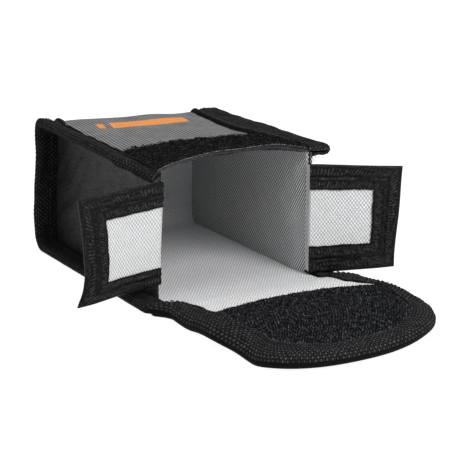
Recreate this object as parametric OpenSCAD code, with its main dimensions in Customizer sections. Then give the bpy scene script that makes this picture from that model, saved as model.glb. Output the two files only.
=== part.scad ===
// Soft fire-resistant battery bag, lying on its back panel with its mouth open.
// Millimetres. The origin is on the underside of the back panel, in the middle of the mouth.
// +X is to the right of the mouth, +Y goes into the bag and +Z is up.
// One long wrap makes the front panel, the base and the back panel. Two gussets close its sides,
// and a tape bound round their turned-out edges makes each seam. Two ears fold across the mouth,
// and a flap in two lengths, cover and tip, folds up over them and onto the front panel.

/* [Bag] */
// Width between the outer faces of the two gussets
panel_w = 75; // [60:1:100]
// Depth from the mouth edge to the outside of the base
bag_d = 105; // [80:1:150]
// Height from the underside of the back panel to the top of the front panel
bag_h = 60; // [54:1:80]
// Outer radius of the two folds along the base
base_r = 7; // [6:0.5:12]

/* [Cloth] */
// Thickness of the coated outer cloth
shell_t = 0.9; // [0.6:0.1:1.2]
// Thickness of the felt boards inside the walls
pad_t = 1.6; // [1:0.1:2.5]
// Thickness of the woven lining
lining_t = 0.5; // [0.3:0.1:0.8]
// Gap between plies that lie on each other
ply_gap = 0.05; // [0.02:0.01:0.1]

/* [Seam binding] */
// Width of the turned-out seams beside the gussets, with their binding
seam_w = 10; // [8:0.5:14]
// Thickness of the binding tape
tape_t = 1; // [0.6:0.1:1.2]
// How far the binding reaches past the seam line over the panels
tape_over = 1.5; // [0.5:0.1:3]

/* [Mouth] */
// Depth of the soft loop strip on the front panel
loop_d = 33; // [20:1:50]
// Thickness of the loop strip
loop_t = 1.6; // [1:0.1:2.5]
// Thickness of the narrow binding along the front panel's edge
mouth_tape_t = 0.6; // [0.4:0.1:1]
// How far that narrow binding reaches in over the lining
mouth_tape_d = 6; // [3:0.5:12]

/* [Ears] */
// Length of an ear from its fold to its outer edge
ear_len = 39; // [28:1:55]
// How far the upper edge of the ears lies below the top of the front panel
ear_drop = 8.7; // [6:0.1:14]
// Thickness of the ears' outer cloth
ear_shell_t = 0.7; // [0.5:0.1:0.9]
// Thickness of the ears' hem tape
hem_t = 0.6; // [0.4:0.1:0.8]
// Width of the hem along an ear's upper and lower edges
hem_w = 10.5; // [6:0.5:14]
// Width of the hem along an ear's outer edge
hem_end_w = 13.5; // [8:0.5:18]
// Distance from an ear's fold to the start of its hem
hem_start = 2.6; // [2.2:0.1:6]
// Radius of the rolled edge that an ear folds on
roll_r = 0.9; // [0.8:0.1:1.4]
// Angle of the left ear in front of straight out to the side
left_ear_angle = 8; // [-10:1:80]
// Angle of the right ear in front of straight out to the side
right_ear_angle = 25; // [-10:1:80]

/* [Flap] */
// Width of the flap over its bindings
flap_w = 88; // [78:1:96]
// Distance from the mouth edge to the fold at the flap's root
flap_out = 12.5; // [10:0.5:18]
// Angle at which the open flap rises from its root to the crease
cover_rise = 4.5; // [0:0.5:8]
// Radius of the flap's two round corners
tip_r = 29; // [20:1:38]
// Straight length of the tip's sides before the round corners
tip_side = 3; // [2:0.5:10]
// Width of the flap's binding
flap_tape_w = 9; // [6:0.5:12]
// Thickness of the hook patch
hook_t = 1.4; // [1:0.1:2]
// Distance from the root fold to the straight edge of the hook patch
hook_root = 44; // [30:1:48]
// Strip of lining left bare between the hook patch and the binding
hook_margin = 2; // [0.5:0.5:5]

/* [Clearances] */
// Gap at a fold between the pieces that it joins
fold_gap = 0.3; // [0.2:0.05:0.5]
// Gap between the hook patch and the loop strip when the bag is closed
close_gap = 1; // [0.2:0.1:3]
// Gap between the two ears when both are closed
ear_gap = 0.3; // [0.2:0.05:1]
// Gap between the ears and the flap that they pass over
ear_over_flap = 0.8; // [0.3:0.1:3]

/* [Hidden] */
$fn = 64;

// Side names, as the sign of X
LEFT = -1;
RIGHT = 1;

// Colours of the cloths
SHELL_COLOR = "#343638";
GUSSET_COLOR = "#1f2022";
FELT_COLOR = "#8d8b84";
LINING_COLOR = "#d9dadb";
TAPE_COLOR = "#161617";
LOOP_COLOR = "#101011";
HOOK_COLOR = "#1b1e22";

// Walls, from the outside in: outer cloth, felt board, lining
wall_t = shell_t + pad_t + lining_t;
half_w = panel_w / 2;

// Seam, from the outside in: tape, wrap, gusset, tape
wrap_in_seam = tape_t + ply_gap;
gusset_in_seam = wrap_in_seam + shell_t + ply_gap;
seam_t = gusset_in_seam + shell_t + ply_gap + tape_t;
seam_nose_r = seam_t / 2;
cloth_edge = half_w + seam_w - seam_nose_r;
tape_edge = half_w - tape_over;

// Widths of the plies of the wrap, each half of the whole
wrap_half = tape_edge - ply_gap;
pad_half = wrap_half - shell_t - ply_gap;
lining_half = half_w - shell_t - ply_gap;
inside_half = half_w - wall_t - ply_gap;

// Narrow binding of the mouth: radius of its round nose
mouth_nose_r = (wall_t + ply_gap + mouth_tape_t) / 2;

// Flap plies, from the floor up: tape, outer cloth, felt, lining, tape
flap_shell_z = tape_t + ply_gap;
flap_felt_z = flap_shell_z + shell_t;
flap_lining_z = flap_felt_z + pad_t;
flap_top_z = flap_lining_z + lining_t;
flap_t = flap_top_z + ply_gap + tape_t;
flap_nose_r = flap_t / 2;
flap_edge = flap_w / 2 - flap_nose_r;
hook_top_z = flap_top_z + hook_t;
hook_half = flap_w / 2 - flap_tape_w - hook_margin;

// Folds of the flap: the root fold lies in the middle of the plies, and the crease of the tip
// lies on top of the hook patch, so that the patch closes like a book
root_y = -flap_out;
root_z = flap_t / 2;
root_r = wall_t / 2;
lip_len = flap_out - root_r - fold_gap;
crease_z = hook_top_z + ply_gap;
cover_len = bag_h + loop_t + close_gap - root_z - (crease_z - hook_top_z);
crease_y = root_y - cover_len;
tip_corner_y = crease_y - tip_side;
tip_end_y = tip_corner_y - tip_r;
tip_corner_x = flap_w / 2 - tip_r;

// The open flap is an arch: the cover rises to the crease, and the tip slopes down from it until
// the round edge of its end lies on the floor
crease_over_root = crease_z - root_z;
crease_height = root_z + cover_len * sin(cover_rise) + crease_over_root * cos(cover_rise);
tip_reach = tip_side + tip_r - flap_nose_r;
tip_slope = asin((crease_height - flap_nose_r) / norm([tip_reach, crease_over_root]))
    - atan2(crease_over_root, tip_reach);
tip_bend = cover_rise + tip_slope;

// The plies stop short of the crease, so that they stay apart when the tip bends down. The room
// for the bend is rounded up to a tenth of a millimetre.
crease_gap = fold_gap + ceil(10 * crease_z * tan(tip_bend)) / 10;
cover_end_y = crease_y + crease_gap / 2;
tip_start_y = crease_y - crease_gap / 2;

// Ears: plies from the outer cloth to the lining, and the hem that wraps both
ear_core_t = ear_shell_t + lining_t;
ear_half_t = ear_core_t / 2 + ply_gap + hem_t;
ear_inset = hem_t + ply_gap;
ear_fold_x = half_w + roll_r;
left_ear_out = roll_r;
right_ear_out = left_ear_out + 2 * ear_half_t + ear_gap;

// The ears swing out over the arched flap, so they start above it at their furthest reach
ear_reach = right_ear_out + ear_len;
ear_bottom_z = root_z + (ear_reach - flap_out) * tan(cover_rise)
    + crease_over_root / cos(cover_rise) + ear_over_flap;
ear_h = bag_h - ear_drop - ear_bottom_z;

// Boards and linings of the gussets stand back from the ears that close over them
gusset_start = ear_half_t - left_ear_out + fold_gap;

// Mirrors its children to one side of the bag. They are drawn for the right side.
module on_side(side) {
    mirror([side == LEFT ? 1 : 0, 0, 0]) children();
}

// Carries a flat profile along the wrap: the front panel, the base and the back panel.
// The profile's x is the bag's x, and its y is the depth in from the outer surface.
module carry_round(front_y, back_y) {
    translate([0, front_y, bag_h])
        rotate([-90, 0, 0])
        linear_extrude(bag_d - base_r - front_y) children();
    translate([0, bag_d - base_r, bag_h - base_r])
        base_fold() children();
    translate([0, bag_d, bag_h - base_r])
        rotate([180, 0, 0])
        linear_extrude(bag_h - 2 * base_r) children();
    translate([0, bag_d - base_r, base_r])
        rotate([-90, 0, 0]) base_fold() children();
    translate([0, bag_d - base_r, 0])
        rotate([90, 0, 0])
        linear_extrude(bag_d - base_r - back_y) children();
}

// A quarter turn of the same profile about the fold's own axis
module base_fold() {
    rotate([90, 0, 90])
        rotate_extrude(angle = 90)
        translate([base_r, 0]) rotate(90) children();
}

// A band of the wrap's profile, as wide as twice half, between two depths
module ply_band(half, depth, thick) {
    translate([-half, depth]) square([2 * half, thick]);
}

// Side view of the space inside the wrap at one depth, from start_y to the base
module side_outline(depth, start_y) {
    translate([start_y, depth])
        square([bag_d - base_r - start_y, bag_h - 2 * depth]);
    translate([bag_d - base_r, base_r])
        square([base_r - depth, bag_h - 2 * base_r]);
    for (z = [base_r, bag_h - base_r])
        translate([bag_d - base_r, z]) circle(base_r - depth);
}

// A sheet parallel to the gussets, with its outer face at outer_x
module gusset_sheet(outer_x, thick, depth, start_y) {
    translate([outer_x - thick, 0, 0])
        rotate([90, 0, 90])
        linear_extrude(thick) side_outline(depth, start_y);
}

// Half of a round tape nose about the origin, on its +X side
module tape_nose(radius, thick) {
    intersection() {
        difference() {
            circle(radius);
            circle(radius - thick);
        }
        translate([0, -radius]) square([radius, 2 * radius]);
    }
}

// Outer cloth of the front panel, base and back panel in one piece. It steps in under the tape,
// so that the tape lies flush with the panels.
module wrap_shell() {
    color(SHELL_COLOR)
        carry_round(0, -lip_len) {
            union() {
                ply_band(wrap_half, 0, shell_t);
                for (side = [LEFT, RIGHT]) on_side(side)
                    translate([wrap_half - shell_t, 0]) {
                        square([shell_t, wrap_in_seam + shell_t]);
                        translate([0, wrap_in_seam])
                            square([cloth_edge - wrap_half + shell_t, shell_t]);
                    }
            }
        }
}

module front_padding() {
    color(FELT_COLOR)
        translate([-pad_half, 0, bag_h - shell_t - pad_t])
        cube([2 * pad_half, bag_d - base_r, pad_t]);
}

module base_padding() {
    color(FELT_COLOR)
        translate([-pad_half, bag_d - shell_t - pad_t, base_r])
        cube([2 * pad_half, pad_t, bag_h - 2 * base_r]);
}

module back_padding() {
    color(FELT_COLOR)
        translate([-pad_half, -lip_len, shell_t])
        cube([2 * pad_half, bag_d - base_r + lip_len, pad_t]);
}

// Lining of the front panel, base and back panel in one piece
module wrap_lining() {
    color(LINING_COLOR)
        carry_round(0, -lip_len) ply_band(lining_half, shell_t + pad_t, lining_t);
}

// A gusset's outer cloth: a tray whose floor is the flat side and whose rim is the turned-out
// seam edge, open at the mouth, with the strip that an ear folds from
module gusset_shell(side, ear_out) {
    color(GUSSET_COLOR) on_side(side) {
        difference() {
            gusset_sheet(cloth_edge, cloth_edge - half_w + shell_t, gusset_in_seam, 0);
            gusset_sheet(cloth_edge + seam_w, cloth_edge - half_w + seam_w,
                gusset_in_seam + shell_t, -seam_w);
        }
        translate([half_w - shell_t, roll_r - ear_out, ear_bottom_z])
            cube([shell_t, ear_out - roll_r + shell_t, ear_h]);
    }
}

module gusset_padding(side) {
    color(FELT_COLOR) on_side(side)
        gusset_sheet(half_w - shell_t, pad_t, wall_t + ply_gap, gusset_start);
}

module gusset_lining(side) {
    color(LINING_COLOR) on_side(side)
        gusset_sheet(half_w - shell_t - pad_t, lining_t, wall_t + ply_gap, gusset_start);
}

// Tape folded over the turned-out edges of wrap and gusset, from the mouth round the base and
// back to the flap's root
module seam_binding(side) {
    inner_edge = half_w + ply_gap;
    color(TAPE_COLOR) on_side(side)
        carry_round(0, -lip_len) {
            union() {
                translate([tape_edge, 0]) square([cloth_edge - tape_edge, tape_t]);
                translate([inner_edge, seam_t - tape_t]) square([cloth_edge - inner_edge, tape_t]);
                translate([cloth_edge, seam_nose_r]) tape_nose(seam_nose_r, tape_t);
            }
        }
}

// Narrow binding of the front panel's edge: a round nose and a leg on the lining
module mouth_binding() {
    leg_z = bag_h - 2 * mouth_nose_r;
    color(TAPE_COLOR) {
        translate([-wrap_half, 0, bag_h - mouth_nose_r])
            rotate([90, 0, 90])
            linear_extrude(2 * wrap_half)
            mirror([1, 0]) tape_nose(mouth_nose_r, mouth_tape_t);
        translate([-inside_half, 0, leg_z])
            cube([2 * inside_half, mouth_tape_d, mouth_tape_t]);
    }
}

// Soft strip that the hook patch closes on
module loop_strip() {
    color(LOOP_COLOR)
        translate([-wrap_half, 0, bag_h])
        cube([2 * wrap_half, loop_d, loop_t]);
}

// Places an ear that is drawn along +X from its fold, with its lining towards +Y
module at_ear(side, ear_out, angle) {
    mirror([side == RIGHT ? 1 : 0, 0, 0])
        translate([-ear_fold_x, -ear_out, ear_bottom_z])
        rotate([0, 0, 180 + angle]) children();
}

// A ply of an ear inside its hem, from start to the folded edge
module ear_ply(start, lowest_y, thick) {
    translate([start, lowest_y, ear_inset])
        cube([ear_len - ear_inset - start, thick, ear_h - 2 * ear_inset]);
}

// An ear's outer cloth, with the rolled edge that it folds on
module ear_shell(side, ear_out, angle) {
    color(GUSSET_COLOR) at_ear(side, ear_out, angle) {
        translate([0, 0, ear_inset]) cylinder(h = ear_h - 2 * ear_inset, r = roll_r);
        ear_ply(0, -ear_core_t / 2, ear_shell_t);
    }
}

module ear_lining(side, ear_out, angle) {
    color(LINING_COLOR) at_ear(side, ear_out, angle)
        ear_ply(roll_r + ply_gap, ear_core_t / 2 - lining_t, lining_t);
}

// An ear's hem before it is hollowed: a slab with round edges on its three free sides
module ear_hem_block() {
    r = ear_half_t;
    run = ear_len - hem_start - r;
    translate([hem_start, -r, r]) cube([run, 2 * r, ear_h - 2 * r]);
    translate([ear_len - r, 0, r]) cylinder(h = ear_h - 2 * r, r = r);
    for (z = [r, ear_h - r]) {
        translate([hem_start, 0, z]) rotate([0, 90, 0]) cylinder(h = run, r = r);
        translate([ear_len - r, 0, z]) sphere(r);
    }
}

// Tape folded over an ear's three free edges, with a window that shows the lining
module ear_hem(side, ear_out, angle) {
    slot_t = ear_core_t + 2 * ply_gap;
    color(TAPE_COLOR) at_ear(side, ear_out, angle)
        difference() {
            ear_hem_block();
            translate([0, -slot_t / 2, hem_t])
                cube([ear_len - hem_t, slot_t, ear_h - 2 * hem_t]);
            translate([0, -2 * ear_half_t, hem_w])
                cube([ear_len - hem_end_w, 4 * ear_half_t, ear_h - 2 * hem_w]);
        }
}

// Turns the flat cover up about the fold at its root
module at_cover() {
    translate([0, root_y, root_z])
        rotate([-cover_rise, 0, 0])
        translate([0, -root_y, -root_z]) children();
}

// Bends the flat tip down about the crease at the cover's end
module at_tip() {
    at_cover()
        translate([0, crease_y, crease_z])
        rotate([tip_bend, 0, 0])
        translate([0, -crease_y, -crease_z]) children();
}

// Lengthwise section of the cover's plies, with the round edge that folds at the root
module cover_section() {
    translate([cover_end_y, flap_shell_z])
        square([root_y - cover_end_y, wall_t]);
    translate([root_y, root_z]) circle(root_r);
}

// One ply of the cover
module cover_ply(low_z, thick) {
    at_cover()
        translate([-flap_edge, 0, 0])
        rotate([90, 0, 90])
        linear_extrude(2 * flap_edge)
        intersection() {
            cover_section();
            translate([crease_y, low_z]) square([cover_len + 2 * root_r, thick]);
        }
}

// Plan of the tip, drawn in from the flap's outer edge by inset, with two round corners
module tip_outline(inset) {
    half = flap_w / 2 - inset;
    intersection() {
        union() {
            translate([-half, tip_corner_y]) square([2 * half, tip_start_y - tip_corner_y]);
            translate([-tip_corner_x, tip_end_y + inset])
                square([2 * tip_corner_x, tip_start_y - tip_end_y - inset]);
            for (x = [-tip_corner_x, tip_corner_x])
                translate([x, tip_corner_y]) circle(tip_r - inset);
        }
        translate([-flap_w, tip_end_y]) square([2 * flap_w, tip_start_y - tip_end_y]);
    }
}

// One ply of the tip
module tip_ply(low_z, thick, inset) {
    at_tip() translate([0, 0, low_z]) linear_extrude(thick) tip_outline(inset);
}

// Section of the flap's binding. Its x is the distance in from the outer edge.
module flap_tape_section() {
    leg = flap_tape_w - flap_nose_r;
    for (z = [0, flap_t - tape_t])
        translate([flap_nose_r, z]) square([leg, tape_t]);
    translate([flap_nose_r, flap_nose_r]) mirror([1, 0]) tape_nose(flap_nose_r, tape_t);
}

// A straight run of the flap's right-hand binding between two places along the bag
module flap_side_tape(from_y, to_y) {
    translate([flap_w / 2, from_y, 0])
        rotate([90, 0, 0])
        linear_extrude(from_y - to_y)
        mirror([1, 0]) flap_tape_section();
}

module flap_cover_shell() {
    color(SHELL_COLOR) cover_ply(flap_shell_z, shell_t);
}

module flap_cover_padding() {
    color(FELT_COLOR) cover_ply(flap_felt_z, pad_t);
}

module flap_cover_lining() {
    color(LINING_COLOR) cover_ply(flap_lining_z, lining_t);
}

// The binding starts clear of the root, so that the flap can turn there
module flap_cover_binding(side) {
    color(TAPE_COLOR) at_cover() on_side(side)
        flap_side_tape(root_y - flap_nose_r - fold_gap, cover_end_y);
}

module hook_patch_lower() {
    color(HOOK_COLOR) at_cover()
        translate([-hook_half, cover_end_y, flap_top_z])
        cube([2 * hook_half, root_y - hook_root - cover_end_y, hook_t]);
}

module flap_tip_shell() {
    color(SHELL_COLOR) tip_ply(flap_shell_z, shell_t, flap_nose_r);
}

module flap_tip_padding() {
    color(FELT_COLOR) tip_ply(flap_felt_z, pad_t, flap_nose_r);
}

module flap_tip_lining() {
    color(LINING_COLOR) tip_ply(flap_lining_z, lining_t, flap_nose_r);
}

// Binding of the tip: two short sides, two round corners and the straight end
module flap_tip_binding() {
    color(TAPE_COLOR) at_tip() {
        for (side = [LEFT, RIGHT]) on_side(side) {
            flap_side_tape(tip_start_y, tip_corner_y);
            translate([tip_corner_x, tip_corner_y, 0])
                rotate([0, 0, -90])
                rotate_extrude(angle = 90)
                translate([tip_r, 0]) mirror([1, 0]) flap_tape_section();
        }
        translate([-tip_corner_x, tip_end_y, 0])
            rotate([90, 0, 90])
            linear_extrude(2 * tip_corner_x) flap_tape_section();
    }
}

module hook_patch_upper() {
    color(HOOK_COLOR) tip_ply(flap_top_z, hook_t, flap_tape_w + hook_margin);
}

wrap_shell();
front_padding();
base_padding();
back_padding();
wrap_lining();
gusset_shell(LEFT, left_ear_out);  // left_gusset_shell
gusset_padding(LEFT);  // left_gusset_padding
gusset_lining(LEFT);  // left_gusset_lining
gusset_shell(RIGHT, right_ear_out);  // right_gusset_shell
gusset_padding(RIGHT);  // right_gusset_padding
gusset_lining(RIGHT);  // right_gusset_lining
seam_binding(LEFT);  // left_seam_binding
seam_binding(RIGHT);  // right_seam_binding
mouth_binding();
loop_strip();
ear_shell(LEFT, left_ear_out, left_ear_angle);  // left_ear_shell
ear_lining(LEFT, left_ear_out, left_ear_angle);  // left_ear_lining
ear_hem(LEFT, left_ear_out, left_ear_angle);  // left_ear_hem
ear_shell(RIGHT, right_ear_out, right_ear_angle);  // right_ear_shell
ear_lining(RIGHT, right_ear_out, right_ear_angle);  // right_ear_lining
ear_hem(RIGHT, right_ear_out, right_ear_angle);  // right_ear_hem
flap_cover_shell();
flap_cover_padding();
flap_cover_lining();
flap_cover_binding(LEFT);  // flap_cover_left_binding
flap_cover_binding(RIGHT);  // flap_cover_right_binding
hook_patch_lower();
flap_tip_shell();
flap_tip_padding();
flap_tip_lining();
flap_tip_binding();
hook_patch_upper();
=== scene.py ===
"""Looks of a soft battery bag that lies open on its back panel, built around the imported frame.

Sizes are in millimetres, in the frame of the CAD: +X to the right of the mouth, +Y into the bag
and +Z up. The meshes are written in metres.
"""

import logging
import math
from dataclasses import dataclass, field
from enum import Enum
from itertools import product

import bmesh
import bpy
import numpy as np
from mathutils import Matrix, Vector


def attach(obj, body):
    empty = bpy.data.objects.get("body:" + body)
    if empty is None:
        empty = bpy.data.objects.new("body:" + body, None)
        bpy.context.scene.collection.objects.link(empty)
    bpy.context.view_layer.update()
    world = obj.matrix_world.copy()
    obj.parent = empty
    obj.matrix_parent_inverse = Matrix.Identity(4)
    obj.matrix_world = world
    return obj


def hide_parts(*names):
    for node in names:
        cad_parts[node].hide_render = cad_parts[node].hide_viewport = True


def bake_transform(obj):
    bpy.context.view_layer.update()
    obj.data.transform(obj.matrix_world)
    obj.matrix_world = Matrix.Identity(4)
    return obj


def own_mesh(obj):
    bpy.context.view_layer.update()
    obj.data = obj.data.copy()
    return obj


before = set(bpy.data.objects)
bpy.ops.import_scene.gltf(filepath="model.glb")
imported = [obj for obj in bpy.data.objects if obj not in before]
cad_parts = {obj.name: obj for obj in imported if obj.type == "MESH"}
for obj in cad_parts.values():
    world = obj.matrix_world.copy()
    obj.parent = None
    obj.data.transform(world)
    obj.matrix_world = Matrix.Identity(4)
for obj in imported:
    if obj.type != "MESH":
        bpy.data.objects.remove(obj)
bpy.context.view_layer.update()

Array = np.ndarray
Socket = bpy.types.NodeSocket
Object = bpy.types.Object
Material = bpy.types.Material
Color = tuple[float, float, float]

MM = 0.001
log = logging.getLogger("bag")


class Side(Enum):
    """A side of the bag, with the sign of its X."""

    LEFT = -1
    RIGHT = 1

    @property
    def word(self) -> str:
        """The side's name, as the nodes have it."""
        return self.name.lower()


def smooth(t: Array) -> Array:
    """Smooth step: 0 below 0, 1 above 1, and 3t^2 - 2t^3 between."""
    t = np.clip(t, 0, 1)
    return t * t * (3 - 2 * t)


def hill(a: Array, centre: float, half: float) -> Array:
    """A smooth hill that is 1 at its centre and 0 from half away."""
    return smooth(1 - np.abs((np.asarray(a) - centre) / half))


def stack(*parts: Array) -> Array:
    """Joins coordinate arrays of any matching shapes into one array of points."""
    return np.stack(np.broadcast_arrays(*parts), -1).astype(float)


def axes(a: Array, b: Array) -> tuple[Array, Array]:
    """The two coordinates of a grid whose rows follow a and whose columns follow b."""
    first, second = np.meshgrid(a, b, indexing="ij")
    return first, second


def closed(*rows: Array) -> list[Array]:
    """Arrays whose last axis ends with its first value again."""
    return [np.concatenate([row, row[..., :1]], -1) for row in rows]


def unit(v: Array) -> Array:
    """Vectors scaled to length 1."""
    return v / np.maximum(np.linalg.norm(v, axis=-1, keepdims=True), 1e-9)


@dataclass(frozen=True)
class Ripple:
    """A wandering smooth field: the mean of sine waves with seeded directions and phases."""

    seed: int
    length: float
    waves: int = 7

    def __call__(self, a: Array, b: Array) -> Array:
        """The field at the places a, b.

        Args:
            a: First coordinate, in millimetres.
            b: Second coordinate, in millimetres.

        Returns:
            Values of about -1 to 1.
        """
        rng = np.random.default_rng(self.seed)
        turn = rng.uniform(0, 2 * np.pi, self.waves)
        rate = 2 * np.pi / self.length * rng.uniform(0.55, 1.6, self.waves)
        phase = rng.uniform(0, 2 * np.pi, self.waves)
        a, b = np.broadcast_arrays(a, b)
        total = np.zeros(a.shape)
        for k in range(self.waves):
            total += np.sin(rate[k] * (a * np.cos(turn[k]) + b * np.sin(turn[k])) + phase[k])
        return total / math.sqrt(self.waves)


def woven(along: Array, across: Array, pitch: float, width: float) -> Array:
    """Height of a plain weave, 0 to 1: s = sin(pi along/pitch) sin(pi across/width); s < 0 is lower."""
    wave = np.sin(np.pi * along / pitch) * np.sin(np.pi * across / width)
    return np.abs(wave) ** 0.7 * np.where(wave > 0, 1.0, 0.3)


class Sewing:
    """Collects grids of points and sews them into one mesh object."""

    def __init__(self) -> None:
        """Starts with nothing sewn."""
        self.points: list[Array] = []
        self.maps: list[Array] = []
        self.faces: list[Array] = []
        self.total = 0

    def lay(self, points: Array, uv: Array) -> Array:
        """Adds points and their place on the cloth.

        Args:
            points: Points in millimetres, in any grid shape.
            uv: Cloth coordinates in millimetres, in the same shape.

        Returns:
            The indices of the points, in the grid's shape.
        """
        shape = points.shape[:-1]
        count = int(np.prod(shape))
        self.points.append(points.reshape(-1, 3))
        self.maps.append(np.broadcast_to(uv, shape + (2,)).reshape(-1, 2))
        index = np.arange(self.total, self.total + count).reshape(shape)
        self.total += count
        return index

    def fill(self, index: Array) -> None:
        """Fills grids of indices with quads; the last two axes are rows and columns."""
        corners = (index[..., :-1, :-1], index[..., 1:, :-1], index[..., 1:, 1:], index[..., :-1, 1:])
        self.faces.append(np.stack(corners, -1).reshape(-1, 4))

    def slab(self, upper: Array, lower: Array, uv: Array, open_column: bool = False) -> "Sewing":
        """Sews a closed sheet from its two faces.

        Args:
            upper: Grid of points of one face.
            lower: Grid of points of the other face.
            uv: Cloth coordinates of the grid.
            open_column: Leaves the first column open, to be merged with another edge.

        Returns:
            This sewing, to go on with.
        """
        top, base = self.lay(upper, uv), self.lay(lower, uv)
        self.fill(top)
        self.fill(base[::-1])
        rims = [(top[0], base[0]), (base[-1], top[-1]), (top[:, -1], base[:, -1])]
        if not open_column:
            rims.append((base[:, 0], top[:, 0]))
        for first, second in rims:
            self.fill(np.stack([first, second]))
        return self

    def tube(self, loops: Array, uv: Array) -> "Sewing":
        """Sews rows of closed loops, whose last point repeats the first, and closes both ends.

        Args:
            loops: Grid of points, one loop a row.
            uv: Cloth coordinates of the grid.

        Returns:
            This sewing, to go on with.
        """
        index = self.lay(loops, uv)
        self.fill(index)
        self.faces += [index[:1, :-1], index[-1:, -2::-1]]
        return self

    def rods(self, start: Array, end: Array, up: Array, radius: float, rise: float = 0.0,
             stations: tuple[float, ...] = (0, 0.15, 0.5, 0.85, 1), sides: int = 4,
             taper: float = 0.4) -> "Sewing":
        """Sews many small rods: start + t (end - start) + up 4 rise t (1 - t).

        Args:
            start: Points where the rods start.
            end: Points where they end.
            up: Directions in which they arch.
            radius: Radius of a rod.
            rise: Height of the arch.
            stations: Places of the rings along a rod, from 0 to 1.
            sides: Number of sides of a ring.
            taper: Radius of the end rings as a share.

        Returns:
            This sewing, to go on with.
        """
        t = np.array(stations)[None, :, None]
        run, up = end - start, unit(up)
        line = start[:, None] + run[:, None] * t + up[:, None] * (4 * rise * t * (1 - t))
        side = unit(np.cross(run, up) + 1e-6)[:, None, None]
        over = unit(np.cross(side, run[:, None, None]))
        size = np.full(len(stations), radius)
        size[[0, -1]] *= taper
        angle = np.linspace(0, 2 * np.pi, sides, endpoint=False)[None, None, :, None]
        ring = size[None, :, None, None] * (side * np.cos(angle) + over * np.sin(angle))
        points = line[:, :, None] + ring
        uv = stack(points[..., 0] * 0 + start[:, None, None, 0], points[..., 1])
        index = self.lay(points, uv)
        self.fill(np.concatenate([index, index[:, :, :1]], 2))
        self.faces += [index[:, 0, ::-1], index[:, -1]]
        return self

    def piece(self, name: str, finish: "Finish", crease: float = 42.0) -> Object:
        """Makes the mesh object, merges doubled points and turns its faces outwards.

        Args:
            name: The object's name.
            finish: The finish of its only material slot.
            crease: Angle in degrees above which an edge is sharp.

        Returns:
            The new object, at the origin.
        """
        mesh = bpy.data.meshes.new(name)
        points = np.concatenate(self.points) * MM
        corners = np.concatenate([f.ravel() for f in self.faces])
        sizes = np.concatenate([np.full(len(f), f.shape[1]) for f in self.faces])
        mesh.vertices.add(len(points))
        mesh.vertices.foreach_set("co", points.astype(np.float32).ravel())
        mesh.loops.add(len(corners))
        mesh.loops.foreach_set("vertex_index", corners.astype(np.int32))
        mesh.polygons.add(len(sizes))
        mesh.polygons.foreach_set("loop_start", (np.cumsum(sizes) - sizes).astype(np.int32))
        layer = mesh.uv_layers.new(name="cloth")
        layer.uv.foreach_set("vector", np.concatenate(self.maps)[corners].astype(np.float32).ravel())
        mesh.update(calc_edges=True)
        shape = bmesh.new()
        shape.from_mesh(mesh)
        bmesh.ops.remove_doubles(shape, verts=shape.verts, dist=2e-7)
        bmesh.ops.recalc_face_normals(shape, faces=shape.faces)
        shape.to_mesh(mesh)
        shape.free()
        mesh.polygons.foreach_set("use_smooth", np.ones(len(mesh.polygons), bool))
        mesh.set_sharp_from_angle(angle=math.radians(crease))
        mesh.materials.append(finish.material())
        obj = bpy.data.objects.new(name, mesh)
        bpy.context.scene.collection.objects.link(obj)
        log.info("%s: %d faces", name, len(mesh.polygons))
        return obj


@dataclass(frozen=True, eq=False)
class Field:
    """A value in a material's nodes, to reckon with: its desk and its socket."""

    desk: "Desk"
    socket: Socket

    def __add__(self, other: object) -> "Field":
        """The sum."""
        return self.desk.math("ADD", self, other)

    def __sub__(self, other: object) -> "Field":
        """The difference."""
        return self.desk.math("SUBTRACT", self, other)

    def __mul__(self, other: object) -> "Field":
        """The product."""
        return self.desk.math("MULTIPLY", self, other)

    def __pow__(self, other: object) -> "Field":
        """The power."""
        return self.desk.math("POWER", self, other)

    def __abs__(self) -> "Field":
        """The value without its sign."""
        return self.desk.math("ABSOLUTE", self)

    def __lt__(self, other: object) -> "Field":
        """1 where it is less than the other, else 0."""
        return self.desk.math("LESS_THAN", self, other)

    def parts(self) -> tuple["Field", "Field"]:
        """The first two parts of a vector."""
        first, second, _ = self.desk.add("SeparateXYZ", self).outputs
        return Field(self.desk, first), Field(self.desk, second)

    def noise(self, scale: float, detail: float = 3.0) -> "Field":
        """A noise field over this place, 0 to 1."""
        return self.desk.value("TexNoise", self, named={"Scale": scale, "Detail": detail})

    def spread(self, low: float, high: float, out_low: float = 0, out_high: float = 1) -> "Field":
        """Maps a range of the value to another range, clamped."""
        return self.desk.value("MapRange", self, low, high, out_low, out_high)

    def wave(self, pitch: float) -> "Field":
        """sin(pi value / pitch)."""
        return self.desk.math("SINE", self * (math.pi / pitch))


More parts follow.
